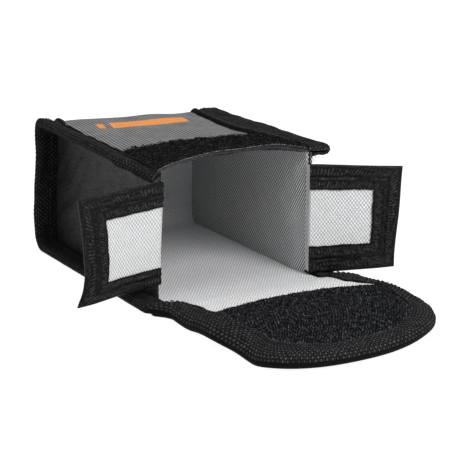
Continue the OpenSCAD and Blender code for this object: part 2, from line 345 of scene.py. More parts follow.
class Desk:
    """Places and links the shader nodes of one material."""

    def __init__(self, name: str) -> None:
        """Starts a material with an output and a Principled shader.

        Args:
            name: The material's name.
        """
        self.material = bpy.data.materials.new(name)
        self.material.use_nodes = True
        self.tree = self.material.node_tree
        self.tree.nodes.clear()
        self.shader = self.tree.nodes.new("ShaderNodeBsdfPrincipled")
        self.output = self.tree.nodes.new("ShaderNodeOutputMaterial")
        self.tree.links.new(self.shader.outputs[0], self.output.inputs[0])

    def add(self, kind: str, *inputs: object, named: dict[str, object] | None = None,
            **settings: object) -> bpy.types.Node:
        """Adds a node.

        Args:
            kind: Node type without its ShaderNode prefix.
            inputs: Values, fields or sockets for the node's first inputs; None leaves one as it is.
            named: The same for other inputs, by name.
            settings: Properties of the node.

        Returns:
            The node.
        """
        node = self.tree.nodes.new("ShaderNode" + kind)
        for key, value in settings.items():
            setattr(node, key, value)
        for socket, value in zip(node.inputs, inputs):
            self.plug(socket, value)
        for key, value in (named or {}).items():
            self.plug(node.inputs[key], value)
        return node

    def value(self, kind: str, *inputs: object, out: int | str = 0, **settings: object) -> Field:
        """Adds a node, as `add` does, and gives one of its outputs."""
        return Field(self, self.add(kind, *inputs, **settings).outputs[out])

    def plug(self, socket: Socket, value: object) -> None:
        """Sets an input's value, or links a field or socket to it; a colour gets its alpha.

        Args:
            socket: The input.
            value: A field, a socket, a number or a colour; None leaves the input as it is.
        """
        value = value.socket if isinstance(value, Field) else value
        if isinstance(value, bpy.types.NodeSocket):
            self.tree.links.new(value, socket)
        elif value is not None:
            socket.default_value = (*value, 1) if isinstance(value, tuple) and len(value) == 3 else value

    def math(self, operation: str, a: object, b: object = None) -> Field:
        """One Math node."""
        return self.value("Math", a, b, operation=operation)

    def mix(self, share: Field, a: object, b: object) -> Field:
        """Mixes two colours.

        Args:
            share: Share of the second colour.
            a: First colour.
            b: Second colour.

        Returns:
            The mixed colour.
        """
        node = self.add("Mix", data_type="RGBA")
        for place, value in ((0, share), (6, a), (7, b)):
            self.plug(node.inputs[place], value)
        return Field(self, node.outputs[2])

    def cloth(self) -> Field:
        """The piece's own cloth coordinates, in millimetres."""
        return self.value("UVMap", uv_map="cloth")

    def place(self) -> Field:
        """Object coordinates, in metres."""
        return self.value("TexCoord", out="Object")

    def bump(self, height: Field, depth: float, strength: float, under: Field | None = None) -> Field:
        """A bump of a depth in millimetres, over another one or the bare surface."""
        sockets = {"Strength": strength, "Distance": depth * MM, "Height": height, "Normal": under}
        return self.value("Bump", named=sockets)

    def finish(self, color: object, rough: object, normal: Field | None, **sockets: object) -> Material:
        """Sets the shader's inputs and returns the material.

        Args:
            color: Base colour.
            rough: Roughness.
            normal: Normal, or None for the bare surface.
            sockets: Other inputs, by their names in small letters.

        Returns:
            The finished material.
        """
        inputs = {"Base Color": color, "Roughness": rough, "Normal": normal}
        for key, value in sockets.items():
            inputs[key.replace("_", " ").title().replace("Ior", "IOR")] = value
        for key, value in inputs.items():
            self.plug(self.shader.inputs[key], value)
        return self.material


MATERIALS: dict["Finish", Material] = {}


@dataclass(frozen=True)
class Finish:
    """A finish: its material slot in the record, its main colour and its roughness."""

    slot: str
    color: Color
    rough: float

    def material(self) -> Material:
        """The finish's material, made once.

        Returns:
            The material, the same one for the same finish.
        """
        if self not in MATERIALS:
            MATERIALS[self] = self.build(Desk(f"{type(self).__name__}_{self.slot}"))
        return MATERIALS[self]

    def lit(self, gain: float) -> Color:
        """The main colour times a gain."""
        return tuple(gain * c for c in self.color)

    def uneven(self, noise: Field, less: float, more: float) -> Field:
        """Roughness that a noise lowers and raises."""
        return noise.spread(0.3, 0.7, self.rough - less, self.rough + more)

    def build(self, desk: Desk) -> Material:
        """Builds the nodes on a desk."""
        raise NotImplementedError


@dataclass(frozen=True)
class CoatedGrid(Finish):
    """Dark coated cloth with a fine light grid, and a plain printed bar with a small block."""

    line: Color = (0.34, 0.345, 0.35)
    ink: Color = (0.8, 0.28, 0.06)
    pitch: tuple[float, float] = (1.68, 1.1)
    skew: float = 0.11
    lean: float = 0.25
    # Each bar's left, right, low and high on the cloth
    bars: tuple[tuple[float, float, float, float], ...] = ()

    def build(self, desk: Desk) -> Material:
        """Broad ribs along the cloth and faint lines across it; bars are slanted boxes.

        Args:
            desk: The desk to build on.

        Returns:
            The material.
        """
        cloth = desk.cloth()
        u, v = cloth.parts()
        rib = abs((u - v * self.skew).wave(self.pitch[0]))
        cross = abs(v.wave(self.pitch[1]))
        grid = desk.math("MAXIMUM", rib.spread(0.52, 0.8, 1, 0), cross.spread(0.2, 0.5, 0.3, 0))
        worn = cloth.noise(0.09, 4).spread(0.3, 0.7, 0.65)
        color = desk.mix(grid * worn, self.color, self.line)
        for left, right, low, high in self.bars:
            off_v = v - (low + high) / 2
            along = u - (left + right) / 2 - off_v * self.lean
            inside = (abs(along) < (right - left) / 2) * (abs(off_v) < (high - low) / 2)
            color = desk.mix(inside * grid.spread(0, 1, 1, 0.86), color, self.ink)
        rough = self.uneven(cloth.noise(0.2), 0.06, 0.08)
        normal = desk.bump(grid, 0.08, 0.7, desk.bump(cloth.noise(0.35), 0.25, 0.5))
        return desk.finish(color, rough, normal, specular_ior_level=0.3)


@dataclass(frozen=True)
class LeatherGrain(Finish):
    """Black coated cloth with a fine pebbled grain, painted glints on the pebbles and soft creases."""

    grain: float = 0.9
    # How much lighter the painted glints on the grain are
    gain: float = 2.6

    def build(self, desk: Desk) -> Material:
        """Grain is the distance to the edges of small cells; creases are a stretched noise. The cells'
        middles, along streaks of noise, take a lighter copy of the colour as painted glints.

        Args:
            desk: The desk to build on.

        Returns:
            The material.
        """
        cloth = desk.cloth()
        scale = {"Scale": self.grain}
        pebble = desk.value("TexVoronoi", cloth, named=scale, feature="DISTANCE_TO_EDGE").spread(0, 0.25)
        crease = cloth.noise(0.16, 5)
        streak = cloth.noise(0.6, 5).spread(0.35, 0.7)
        # Painted glints: the pebbles' middles along the streaks take a lighter copy of the colour
        color = desk.mix(streak * pebble, self.color, self.lit(self.gain))
        normal = desk.bump(streak, 0.3, 0.7, desk.bump(crease, 0.2, 0.5))
        normal = desk.bump(pebble, 0.14, 0.8, normal)
        return desk.finish(color, self.uneven(crease, 0.05, 0.06), normal, specular_ior_level=0.22)


@dataclass(frozen=True)
class Felt(Finish):
    """Grey needled felt."""

    def build(self, desk: Desk) -> Material:
        """Fibres are two noises of different scale.

        Args:
            desk: The desk to build on.

        Returns:
            The material.
        """
        place = desk.place()
        fibre = place.noise(900, 5)
        color = desk.mix(fibre, self.lit(0.6), self.color)
        normal = desk.bump(fibre, 0.3, 0.8, desk.bump(place.noise(160, 2), 0.5, 0.5))
        return desk.finish(color, self.rough, normal, sheen_weight=0.3)


@dataclass(frozen=True)
class WovenLining(Finish):
    """White woven lining: light dots where a thread lies on top, grey gaps between them, partly the weave's
    own gaps and partly painted shade between the threads.
    """

    # Colour of the gaps between threads: the weave's own gaps with painted shade in them
    gap: Color = (0.24, 0.245, 0.255)
    cell: float = 1.02
    stretch: float = 0.72
    low: float = 0.02

    def build(self, desk: Desk) -> Material:
        """A plain weave on the bias: sin(pi (u+w) / c) sin(pi (u-w) / c) with w = stretch v.

        Args:
            desk: The desk to build on.

        Returns:
            The material.
        """
        cloth = desk.cloth()
        u, v = cloth.parts()
        w = v * self.stretch
        warp, weft = ((u + w).wave(1.414 * self.cell), (u - w).wave(1.414 * self.cell))
        over = abs(warp * weft) ** 0.7
        slub = cloth.noise(0.25).spread(0.3, 0.7, 0.9)
        # The gaps take the gap colour: painted shade between the threads over the weave's own gaps
        color = desk.mix(over.spread(self.low, self.low + 0.43) * slub, self.gap, self.color)
        normal = desk.bump(over, 0.32, 0.9, desk.bump(cloth.noise(0.05, 2), 0.8, 0.3))
        return desk.finish(color, self.rough, normal, specular_ior_level=0.35)


@dataclass(frozen=True)
class RibbedTape(Finish):
    """Black woven tape: threads across the ribs, and a little painted highlight on the crowns, broken up by
    noise.
    """

    pitch: float = 1.25
    width: float = 1.5
    # How much lighter the painted highlights on the crowns are
    gain: float = 30.0
    plain: float = 99.0

    def build(self, desk: Desk) -> Material:
        """Painted highlights lie on the crowns, which follow the weave that the mesh has; past `plain`, on
        the nose's underside, which faces down, there are none.

        Args:
            desk: The desk to build on.

        Returns:
            The material.
        """
        cloth = desk.cloth()
        u, v = cloth.parts()
        crown = u.wave(self.width) * v.wave(self.pitch)
        crown = desk.math("MAXIMUM", crown, crown * -0.4).spread(0.05, 0.85)
        thread = abs((u + v * 0.35).wave(0.27))
        breakup = cloth.noise(0.3, 4).spread(0.35, 0.75, 0.3)
        # Painted highlight on the crowns of the weave, broken up by noise; none on the nose's underside
        crown_highlight = crown ** 1.3 * thread.spread(0, 1, 0.5) * breakup
        crown_highlight = crown_highlight * abs(u - (self.plain + 2.7)).spread(1.5, 2.7)
        color = desk.mix(crown_highlight, self.color, self.lit(self.gain))
        normal = desk.bump(thread, 0.05, 0.6, desk.bump(crown, 0.16, 0.7))
        return desk.finish(color, self.rough, normal, specular_ior_level=0.06)


@dataclass(frozen=True)
class SmoothBinding(Finish):
    """Black smooth coated cloth with a soft gloss, a fine grain and rows of puckers at its seams, with
    painted highlights on the puckers' crests.
    """

    rows: tuple[float, ...] = ()
    pucker: float = 1.7
    # How much lighter the grain's specks and the painted highlights on the puckers are
    gain: float = 22.0
    shine: float = 0.1
    grain: float = 0.25
    reach: tuple[float, float] = (0.5, 2.0)

    def build(self, desk: Desk) -> Material:
        """Puckers lie across the band: |sin(pi v / pucker)|^4 near each row, broken up by noise. Their crests
        take a lighter copy of the colour as painted highlights.

        Args:
            desk: The desk to build on.

        Returns:
            The material.
        """
        cloth = desk.cloth()
        u, v = cloth.parts()
        drift = cloth.noise(0.22)
        sharp = abs((v + drift * 0.8).wave(self.pucker)) ** 4.0
        light = self.lit(self.gain)
        color = desk.mix(cloth.noise(0.8, 4).spread(0.48, 0.7, 0, self.grain), self.color, light)
        normal = desk.bump(cloth.noise(1.1, 4), 0.12, 0.7)
        for row in self.rows:
            near = sharp * abs(u - row).spread(*self.reach, 1, 0) * cloth.noise(0.5).spread(0.4, 0.62)
            # Painted highlights on the crests of the puckers
            color = desk.mix(near, color, light)
            normal = desk.bump(near, 0.2, 0.8, normal)
        return desk.finish(color, self.uneven(drift, 0.08, 0.12), normal, specular_ior_level=self.shine)


@dataclass(frozen=True)
class FuzzyTape(Finish):
    """Black hook or loop tape: fine painted highlights on the tips of the threads."""

    # Colour of the painted highlights on the threads' tips
    speck: Color = (0.03, 0.03, 0.032)
    grain: float = 1.1
    rows: bool = False

    def build(self, desk: Desk) -> Material:
        """The painted highlights are specks in the middles of small cells, or on a hook tape a fine noise
        along slanted rows.

        Args:
            desk: The desk to build on.

        Returns:
            The material.
        """
        cloth = desk.cloth()
        tuft = cloth.noise(0.35, 4)
        if self.rows:
            u, v = cloth.parts()
            speck_noise = desk.value("CombineXYZ", u, v * 0.5).noise(0.95, 2)
            tip = (speck_noise + (u - v * 0.43).wave(0.67) * 0.1).spread(0.47, 0.72)
        else:
            cells = desk.value("TexVoronoi", cloth, named={"Scale": self.grain}, feature="F1")
            tip = cells.spread(0.1, 0.45, 1, 0)
        # Painted highlights: the specks take the lighter speck colour
        color = desk.mix(tip * tuft.spread(0.3, 0.7), self.color, self.speck)
        normal = desk.bump(tip, 0.3, 0.8, desk.bump(tuft, 0.6, 0.6))
        return desk.finish(color, self.rough, normal, specular_ior_level=0.08)


@dataclass(frozen=True)
class Thread(Finish):
    """Twisted sewing thread."""

    def build(self, desk: Desk) -> Material:
        """The twist is a fine wave along Object coordinates.

        Args:
            desk: The desk to build on.

        Returns:
            The material.
        """
        scale = {"Scale": 900}
        twist = desk.value("TexWave", desk.place(), out=1, named=scale, bands_direction="DIAGONAL")
        color = desk.mix(twist, self.color, self.lit(1.8))
        return desk.finish(color, self.rough, desk.bump(twist, 0.05, 0.6), specular_ior_level=0.2)


PRINT_BARS = ((-19.0, 20.5, 76.3, 87.5), (-26.0, -22.4, 77.3, 86.5))
FRONT_CLOTH = CoatedGrid("coated_cloth", (0.018, 0.0185, 0.02), 0.45, bars=PRINT_BARS)
BACK_CLOTH = CoatedGrid("coated_cloth", (0.018, 0.0185, 0.02), 0.47)
GUSSET_CLOTH = LeatherGrain("gusset_cloth", (0.012, 0.012, 0.013), 0.45)
FELT = Felt("felt", (0.27, 0.26, 0.23), 0.95)
LINING = WovenLining("lining", (0.825, 0.83, 0.84), 0.75)
# The side linings' gaps are nearly black and wider: painted shade between the threads, for the light that
# grazes the side walls
SIDE_LINING = WovenLining("lining", (0.84, 0.845, 0.855), 0.75, gap=(0.04, 0.042, 0.046), low=0.3)
SEAM_TAPE = RibbedTape("binding_tape", (0.0036, 0.0036, 0.0038), 0.8, pitch=0.95, width=1.1)
FLAP_TAPE = RibbedTape("binding_tape", (0.0037, 0.0036, 0.0038), 0.75, 1.16, 1.4, 36.0, 11.5)
# The hem's two rows: painted highlights on the puckers along its stitches
HEM_CLOTH = SmoothBinding("hem_cloth", (0.0035, 0.0035, 0.0038), 0.36, rows=(3.2, 9.4))
# The lip's two rows: painted highlights along the tops of its two beads
LIP_CLOTH = SmoothBinding("smooth_binding", (0.006, 0.006, 0.0065), 0.24, rows=(2.2, 6.4), pucker=0.8,
                          gain=90.0, shine=0.25, grain=0.0, reach=(0.25, 0.8))
LOOP_PILE = FuzzyTape("loop_pile", (0.003, 0.003, 0.0033), 0.85, speck=(0.12, 0.12, 0.122))
HOOK_TAPE = FuzzyTape("hook_tape", (0.003, 0.0033, 0.0045), 0.6, speck=(0.125, 0.128, 0.145), rows=True)
THREAD = Thread("binding_tape", (0.01, 0.01, 0.011), 0.55)


@dataclass(frozen=True)
class WrapPath:
    """The line of the walls in side view: front panel, base and back panel, from the mouth round."""

    depth: float = 105.0
    height: float = 60.0
    fold: float = 7.0

    @property
    def flat(self) -> float:
        """Length of the front panel before its fold."""
        return self.depth - self.fold

    @property
    def arc(self) -> float:
        """Length of a fold."""
        return self.fold * math.pi / 2

    @property
    def total(self) -> float:
        """Length from mouth edge to mouth edge."""
        return 2 * self.flat + 2 * self.arc + self.height - 2 * self.fold

    def at(self, t: Array, inset: Array) -> tuple[Array, Array]:
        """Where the wall is.

        The line is straight along the front, turns a quarter circle, drops along the base, turns
        again and runs back straight. A fold's radius shrinks by the inset.

        Args:
            t: Length along the wall from the front panel's mouth edge.
            inset: Depth in from the outer surface.

        Returns:
            The places' Y and Z.
        """
        t, inset = np.broadcast_arrays(np.asarray(t, float), np.asarray(inset, float))
        ends = np.cumsum([self.flat, self.arc, self.height - 2 * self.fold, self.arc])
        first, second = (t - ends[0]) / self.fold, (t - ends[2]) / self.fold
        r = self.fold - inset
        y = np.select(
            [t <= ends[0], t <= ends[1], t <= ends[2], t <= ends[3]],
            [t, self.flat + r * np.sin(first), self.depth - inset, self.flat + r * np.cos(second)],
            self.flat - (t - ends[3]))
        z = np.select(
            [t <= ends[0], t <= ends[1], t <= ends[2], t <= ends[3]],
            [self.height - inset, self.height - self.fold + r * np.cos(first),
             self.height - self.fold - (t - ends[1]), self.fold - r * np.sin(second)],
            inset)
        return y, z


@dataclass
class BagForm:
    """How the soft bag settles away from its drawn shape."""

    # The bag's width and depth, over which the corners' shifts are spread
    width: float = 95.0
    depth: float = 105.0
    # Rise of the mouth edge's bow in its middle, and half its width
    bow: float = 4.3
    bow_half: float = 38.0
    # The left rim: its fall at the mouth, its rise further in, and its tuck as a share
    droop: float = 2.4
    curl: float = 1.4
    tuck: float = 0.62
    wobble: float = 0.22
    # Shifts in X and Z of the upper corners: left mouth, left base, right mouth, right base
    corners: tuple[tuple[float, float], ...] = ((2.0, -0.9), (1.9, 1.8), (0.0, -0.4), (0.0, -1.5))
    rest_z: float = 0.04
    ripple: Ripple = field(default_factory=lambda: Ripple(11, 34))
    side_ripple: Ripple = field(default_factory=lambda: Ripple(12, 30))

    def settle(self, points: Array) -> Array:
        """Moves drawn points to where the cloth hangs.

        The upper corners shift, the front panel's mouth edge bows up by 1 - |x/half|^2.6, the left
        rim curls up, droops and is tucked in at the mouth, and a slow ripple runs over all of it.
        The floor side stays.

        Args:
            points: Drawn points.

        Returns:
            The settled points.
        """
        x, y, z = points[..., 0], points[..., 1], points[..., 2]
        top = smooth((z - 14) / 44)
        across, along = np.clip(x / self.width + 0.5, 0, 1), np.clip(y / self.depth, 0, 1)
        weights = ((1 - across) * (1 - along), (1 - across) * along, across * (1 - along), across * along)
        shift_x = sum(w * c[0] for w, c in zip(weights, self.corners))
        shift_z = sum(w * c[1] for w, c in zip(weights, self.corners))
        arch = np.clip(1 - np.abs(x / self.bow_half) ** 2.6, 0, 1) * np.clip(1 - y / 75, 0, 1.05) ** 2
        arch = self.bow * arch * smooth((z - 46) / 10)
        sag = self.droop * smooth((16 - y) / 16) * smooth((-x - 37) / 9) * top
        sag = sag - self.curl * smooth((-x - 39) / 6) * smooth((y - 10) / 24) * top
        wave = self.wobble * self.ripple(x, y) * top
        sway = self.wobble * self.side_ripple(y, z) * smooth((z - 4) / 12) * smooth((y - 3) / 10)
        sway = sway + self.tuck * np.maximum(-38.5 - x, 0) * smooth((24 - y) / 26) * smooth((z - 46) / 8)
        moved_z = z + top * shift_z + arch - sag + wave
        return stack(x + top * shift_x + sway, y, np.maximum(moved_z, self.rest_z))


@dataclass
class BagBody:
    """The box of the bag: panels, felt boards, linings, gussets, seams, mouth lip and loop strip."""

    path: WrapPath = field(default_factory=WrapPath)
    form: BagForm = field(default_factory=BagForm)
    # Half widths: to the gussets, to the cloth's edge inside the seams, to the tapes' inner edge
    half: float = 37.5
    panel_half: float = 45.3
    seam_inner: float = 36.0
    # How far the front panel lies below the tapes
    dip: float = 0.6
    # Thicknesses of the plies and the clearance between them
    shell: float = 0.9
    felt: float = 1.6
    lining: float = 0.5
    gap: float = 0.05
    # How far the tapes and the floor run out past the mouth
    lip: float = 10.8
    lip_seam: float = 3.0
    # Where the front panel's mouth length ends
    split: float = 30.4
    # Loop strip: its length from the mouth edge, its left edge and its number of loops
    loop_end: float = 31.8
    loop_left: float = -40.4
    loops: int = 5600
    # Stitches of the seams: from one to the next, and their length
    stitch_pitch: float = 2.6
    stitch: float = 1.7

    def inset(self, t: Array) -> Array:
        """Depth of the outer cloth below the tapes: dip on the front and base, little on the floor."""
        floor_start = self.path.total - self.path.flat - self.path.arc
        return self.dip - (self.dip - 0.12) * smooth((np.asarray(t) - floor_start + 12) / 24)

    def pinch(self, t: Array) -> Array:
        """How far the lip presses the front panel's plies together at the mouth, as a share."""
        return 1 - 0.55 * smooth((8 - np.asarray(t)) / 8)

    def carried(self, x: Array, t: Array, depth: Array) -> Array:
        """Settled points of the walls at X, length along the wall and depth below its surface."""
        y, z = self.path.at(t, depth)
        return self.form.settle(stack(x, y, z))

    def wall(self, name: str, finish: Finish, span: tuple[float, float], t: Array, depth: float,
             thick: float) -> Object:
        """One ply of the walls.

        Args:
            name: The piece's name.
            finish: Its finish.
            span: X of its left and right edges.
            t: Its stations along the wall.
            depth: Depth of its outer face below the outer cloth's face.
            thick: Its thickness.

        Returns:
            The piece.
        """
        x, along = axes(np.linspace(*span, 91), t)
        tuck = np.zeros(x.shape)
        if depth == 0:
            # The outer cloth dips under the inner edges of the seam tapes
            left, right = (np.abs(x) - self.seam_edge(side, along) for side in Side)
            tuck = 0.45 * smooth((left + 0.6) / 1.6) * (x < 0) + 0.7 * smooth((right + 2.2) / 2.6) * (x > 0)
        faces = [self.carried(x, along, self.inset(along) + tuck + d * self.pinch(along))
                 for d in (depth, depth + thick)]
        return Sewing().slab(*faces, stack(x, along)).piece(name, finish)

    def seam_edge(self, side: Side, t: Array) -> Array:
        """Distance from the middle to the inner edge of a seam tape on the front panel.

        Args:
            side: The seam's side.
            t: Length along the wall from the mouth edge.

        Returns:
            The distances: even on the left, drawn in between stations on the right.
        """
        if side is Side.LEFT:
            return self.seam_inner + 4.0 * smooth((97 - np.asarray(t)) / 14)
        stations, wider = (0, 12, 30, 50, 66, 80, 95, 104), (0.2, 2.6, 5.4, 7.0, 6.8, 5.0, 2.2, 1.3)
        return self.seam_inner - np.interp(t, stations, wider)

    def fan(self, t: Array, depth: Array, share: Array) -> tuple[Array, Array]:
        """Side view of a gusset: from its middle line (share 0) out to the wall (share 1).

        Args:
            t: Length along the wall.
            depth: Depth in from the outer surface.
            share: Share of the way from the middle line to the wall.

        Returns:
            The places' Y and Z.
        """
        edge_y, edge_z = self.path.at(t, depth)
        mid_y, mid_z = np.minimum(edge_y, 88.0), self.path.height / 2
        return mid_y + share * (edge_y - mid_y), mid_z + share * (edge_z - mid_z)

    def gusset_rows(self, start: float) -> Array:
        """Stations along a gusset's edge from a start at the mouth, alike on both halves.

        Args:
            start: The first station's distance from the mouth.

        Returns:
            Lengths along the wall.
        """
        front = np.linspace(start, self.path.flat, 80)
        round_base = np.linspace(self.path.flat, self.path.total - self.path.flat, 61)[1:-1]
        return np.concatenate([front, round_base, self.path.total - front[::-1]])

    def build_panels(self) -> list[Object]:
        """Makes the outer cloth, the felt boards and the linings of the wrap.

        Returns:
            The pieces, the outer cloth first.
        """
        path, wide = self.path, (-self.panel_half, self.panel_half)
        split, flat = self.split, path.flat
        ends = flat + path.arc, path.total - flat - path.arc
        floor = path.total - flat, path.total + self.lip_seam
        levels = {FELT: (self.shell + self.gap, self.felt - 2 * self.gap),
                  LINING: (self.shell + self.felt, self.lining)}
        felt_span, lining_span = (-34.9, 34.9), (-36.4, 36.4)
        plan = (
            ("front_panel_mouth", FRONT_CLOTH, (-41.2, 38.6), (0.0, split, 60), "wrap_shell", True),
            ("front_panel", FRONT_CLOTH, wide, (split, flat, 90), "wrap_shell", False),
            ("base_and_back_panel", BACK_CLOTH, wide, (flat, floor[1], 220), "wrap_shell", False),
            ("front_felt_mouth", FELT, felt_span, (1.2, split, 30), "front_padding", True),
            ("front_felt_board", FELT, felt_span, (split, flat, 40), "front_padding", False),
            ("base_felt_board", FELT, felt_span, (*ends, 40), "base_padding", False),
            ("back_felt_board", FELT, felt_span, (*floor, 60), "back_padding", False),
            ("front_lining_mouth", LINING, lining_span, (0.9, split, 40), "wrap_lining", True),
            ("front_lining", LINING, lining_span, (split, flat, 50), "wrap_lining", False),
            ("base_and_floor_lining", LINING, lining_span, (flat, floor[1], 220), "wrap_lining", False),
        )
        made = []
        for name, finish, span, stations, node, pressed in plan:
            level = levels.get(finish, (0, self.shell))
            piece = self.wall(name, finish, span, np.linspace(*stations), *level)
            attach(piece, "bag")
            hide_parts(node)
            if pressed:
                self.flatten(piece)
            if finish is FELT:
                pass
            else:
                size = ((span[1] - span[0]) * MM, (stations[1] - stations[0]) * MM)
            made.append(piece)
        return made

    def flatten(self, piece: Object) -> None:
        """Gives a piece its own copy of its mesh."""
        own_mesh(piece)

    def build_gusset(self, side: Side) -> list[Object]:
        """Makes a gusset's outer cloth, felt board and lining.

        Args:
            side: The gusset's side.

        Returns:
            The three pieces.
        """
        t = self.gusset_rows(0.0)
        share = np.linspace(0, 1, 34)
        flange = np.linspace(self.half, self.panel_half, 8)[1:]
        crease = Ripple(21 if side is Side.LEFT else 22, 22)
        grain = Ripple(23 if side is Side.LEFT else 24, 9)

        def loose(y: Array, shares: Array) -> Array:
            """How free the side is to move: 1 in its middle, 0 at its seams and at the mouth."""
            return (1 - shares ** 4) * smooth((y - 2) / 12)

        def give(y: Array, z: Array, shares: Array) -> Array:
            """How far the loose middle of the side moves out: it sags and wrinkles."""
            return loose(y, shares) * (-0.9 + 0.24 * crease(y, 1.6 * z) + 0.14 * grain(1.3 * y, z))

        def skin(depth: float, outer: float) -> Array:
            """One face of the tray: the sagging panel and then the turned-out edge.

            Args:
                depth: Depth of its turned-out edge below the tapes.
                outer: X of the panel at its edge.

            Returns:
                Grid of points, for the right side.
            """
            rows, shares = axes(t, share)
            y, z = self.fan(rows, depth, shares)
            x = outer + give(y, z, shares)
            rows, reach = axes(t, flange)
            edge_y, edge_z = self.path.at(rows, depth)
            panel, edge = stack(x, y, z), stack(reach + outer - self.half, edge_y, edge_z)
            return np.concatenate([panel, edge], 1)

        outer, inner = skin(2.9, self.half), skin(2.0, self.half - self.shell)
        uv = stack(outer[..., 1] + (outer[..., 0] - self.half), outer[..., 2])
        mirror = np.array([side.value, 1, 1])
        faces = [self.form.settle(face * mirror) for face in (outer, inner)]
        sewn = Sewing().slab(*faces, uv, open_column=True)
        pieces = [sewn.piece(f"{side.word}_gusset_cloth", GUSSET_CLOTH)]

        def leaf(outer: float, start: float, flare: float) -> Array:
            """A sheet parallel to the gusset; the flare takes its mouth edge out to the cloth.

            Args:
                outer: X of the sheet at its edge.
                start: Its distance from the mouth.
                flare: How far its mouth edge goes out.

            Returns:
                Grid of settled points.
            """
            rows, shares = axes(self.gusset_rows(start), share)
            y, z = self.fan(rows, self.inset(rows) + 3.0 * self.pinch(rows) + 0.05, shares)
            calm = loose(y, shares) * (0.1 * crease(y, z) - 0.9)
            x = outer + (give(y, z, shares) if outer > 36 else calm) + flare * smooth((9 - y) / 9)
            if side is Side.RIGHT and outer < 35.05:
                top = smooth((z - 50.5) / 2)
                x = x + 1.9 * top * smooth((start + 1.2 - y) / 1.2)
                y = y - (start + 0.25) * top * smooth((9 - y) / 6)
            return self.form.settle(stack(side.value * x, y, z))

        plan = (
            ("felt_board", FELT, 8.0, (36.5, 35.1), (0, 0)),
            ("lining_cloth", SIDE_LINING, 2.6 if side is Side.LEFT else 1.2, (35.0, 34.5), (1.3, 1.4)),
        )
        for word, finish, start, levels, flares in plan:
            faces = [leaf(level, start, flare) for level, flare in zip(levels, flares)]
            inner = faces[1]
            uv = stack(inner[..., 1] - np.abs(inner[..., 0]), inner[..., 2])
            sewn = Sewing().slab(*faces, uv, open_column=True)
            pieces.append(sewn.piece(f"{side.word}_gusset_{word}", finish))
        for piece, node in zip(pieces, ("shell", "padding", "lining")):
            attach(piece, "bag")
            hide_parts(f"{side.word}_gusset_{node}")
        return pieces

    def build_seam(self, side: Side) -> list[Object]:
        """Makes the woven tape that is folded over a seam, with its row of stitches.

        The tape's section is a U: an upper leg with a raised bead at its inner edge, a round nose
        and a lower leg. Its outer face carries the crowns of the weave.

        Args:
            side: The seam's side.

        Returns:
            The tape and the stitches.
        """
        thick, nose, edge, inner_edge, lower_edge = 1.0, 1.975, 45.525, self.seam_inner, 37.6
        t = np.arange(-1.6, self.path.total + self.lip, 0.28)
        turn = np.linspace(-np.pi / 2, np.pi / 2, 17)
        upper, lower = np.linspace(inner_edge, edge, 31)[:-1], np.linspace(edge, lower_edge, 15)[1:]
        outer_x = np.concatenate([upper, edge + nose * np.cos(turn), lower])
        outer_d = np.concatenate([0 * upper, nose + nose * np.sin(turn), 0 * lower + 2 * nose])
        out_x = np.concatenate([0 * upper, np.cos(turn), 0 * lower])
        out_d = np.concatenate([0 * upper - 1, np.sin(turn), 0 * lower + 1])
        back = np.linspace(np.pi / 2, -np.pi / 2, 6)
        inner_x = np.concatenate([[lower_edge], edge + (nose - thick) * np.cos(back), [inner_edge]])
        inner_d = np.concatenate([[2 * nose - thick], nose + (nose - thick) * np.sin(back), [thick]])
        girth = np.concatenate([[0], np.cumsum(np.hypot(np.diff(outer_x), np.diff(outer_d)))])
        on_floor = smooth((t - (self.path.total - self.path.flat) + 16) / 12)[:, None]
        wander = Ripple(31 if side is Side.LEFT else 32, 16)
        ridge = (37.2, 1.7, 39.6, 1.8) if side is Side.LEFT else (36.7, 1.1, 38.3, 1.3)
        bead = (0.95 * hill(outer_x, *ridge[:2]) - 0.3 * hill(outer_x, *ridge[2:])) * (outer_d < 0.01)
        puff = 0.3 * np.sin(np.pi * np.clip((girth - 3) / 12, 0, 1))
        crowns = 0.17 * woven(t[:, None], girth[None], SEAM_TAPE.pitch, SEAM_TAPE.width)
        lift = crowns + (1 - on_floor) * (bead + puff) + 0.16 * wander(t[:, None], 2.5 * girth[None])
        lift = lift * (1 - 0.9 * on_floor * (outer_d < 1.2))
        x = np.concatenate([outer_x + lift * out_x, np.broadcast_to(inner_x, (len(t), len(inner_x)))], 1)
        wide = inner_edge - self.seam_edge(side, t)
        wide = (1 + ((1 - on_floor) * wide[:, None] + 0.25 * wander(t, 0 * t)[:, None]) / 8)
        x = np.where((x < 44) & (np.concatenate([outer_d, inner_d]) < 1.5), 44 - (44 - x) * wide, x)
        d = np.concatenate([outer_d + lift * out_d, np.broadcast_to(inner_d, (len(t), len(inner_d)))], 1)
        close = np.sqrt(1 - np.clip((0.9 - t) / 2.6, 0, 0.97) ** 2)[:, None]
        tail = smooth((t - self.path.total - 5.5) / 5.3)[:, None]
        d = nose + (d - nose) * close
        x = x - (2.5 * (1 - close) + 3.4 * tail) * smooth((x - 39) / 7)
        width = np.concatenate([girth, girth[-1] + np.linspace(1, 6, len(inner_x))])
        x, d, width = closed(x, d, width)
        points = self.carried(side.value * x, t[:, None], d)
        sewn = Sewing().tube(points, stack(width[None], t[:, None]))
        tape = sewn.piece(f"{side.word}_seam_tape", SEAM_TAPE, crease=60)
        thread = self.seam_stitches(side, nose)
        for piece in (tape, thread):
            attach(piece, "bag")
        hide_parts(f"{side.word}_seam_binding")
        return [tape, thread]

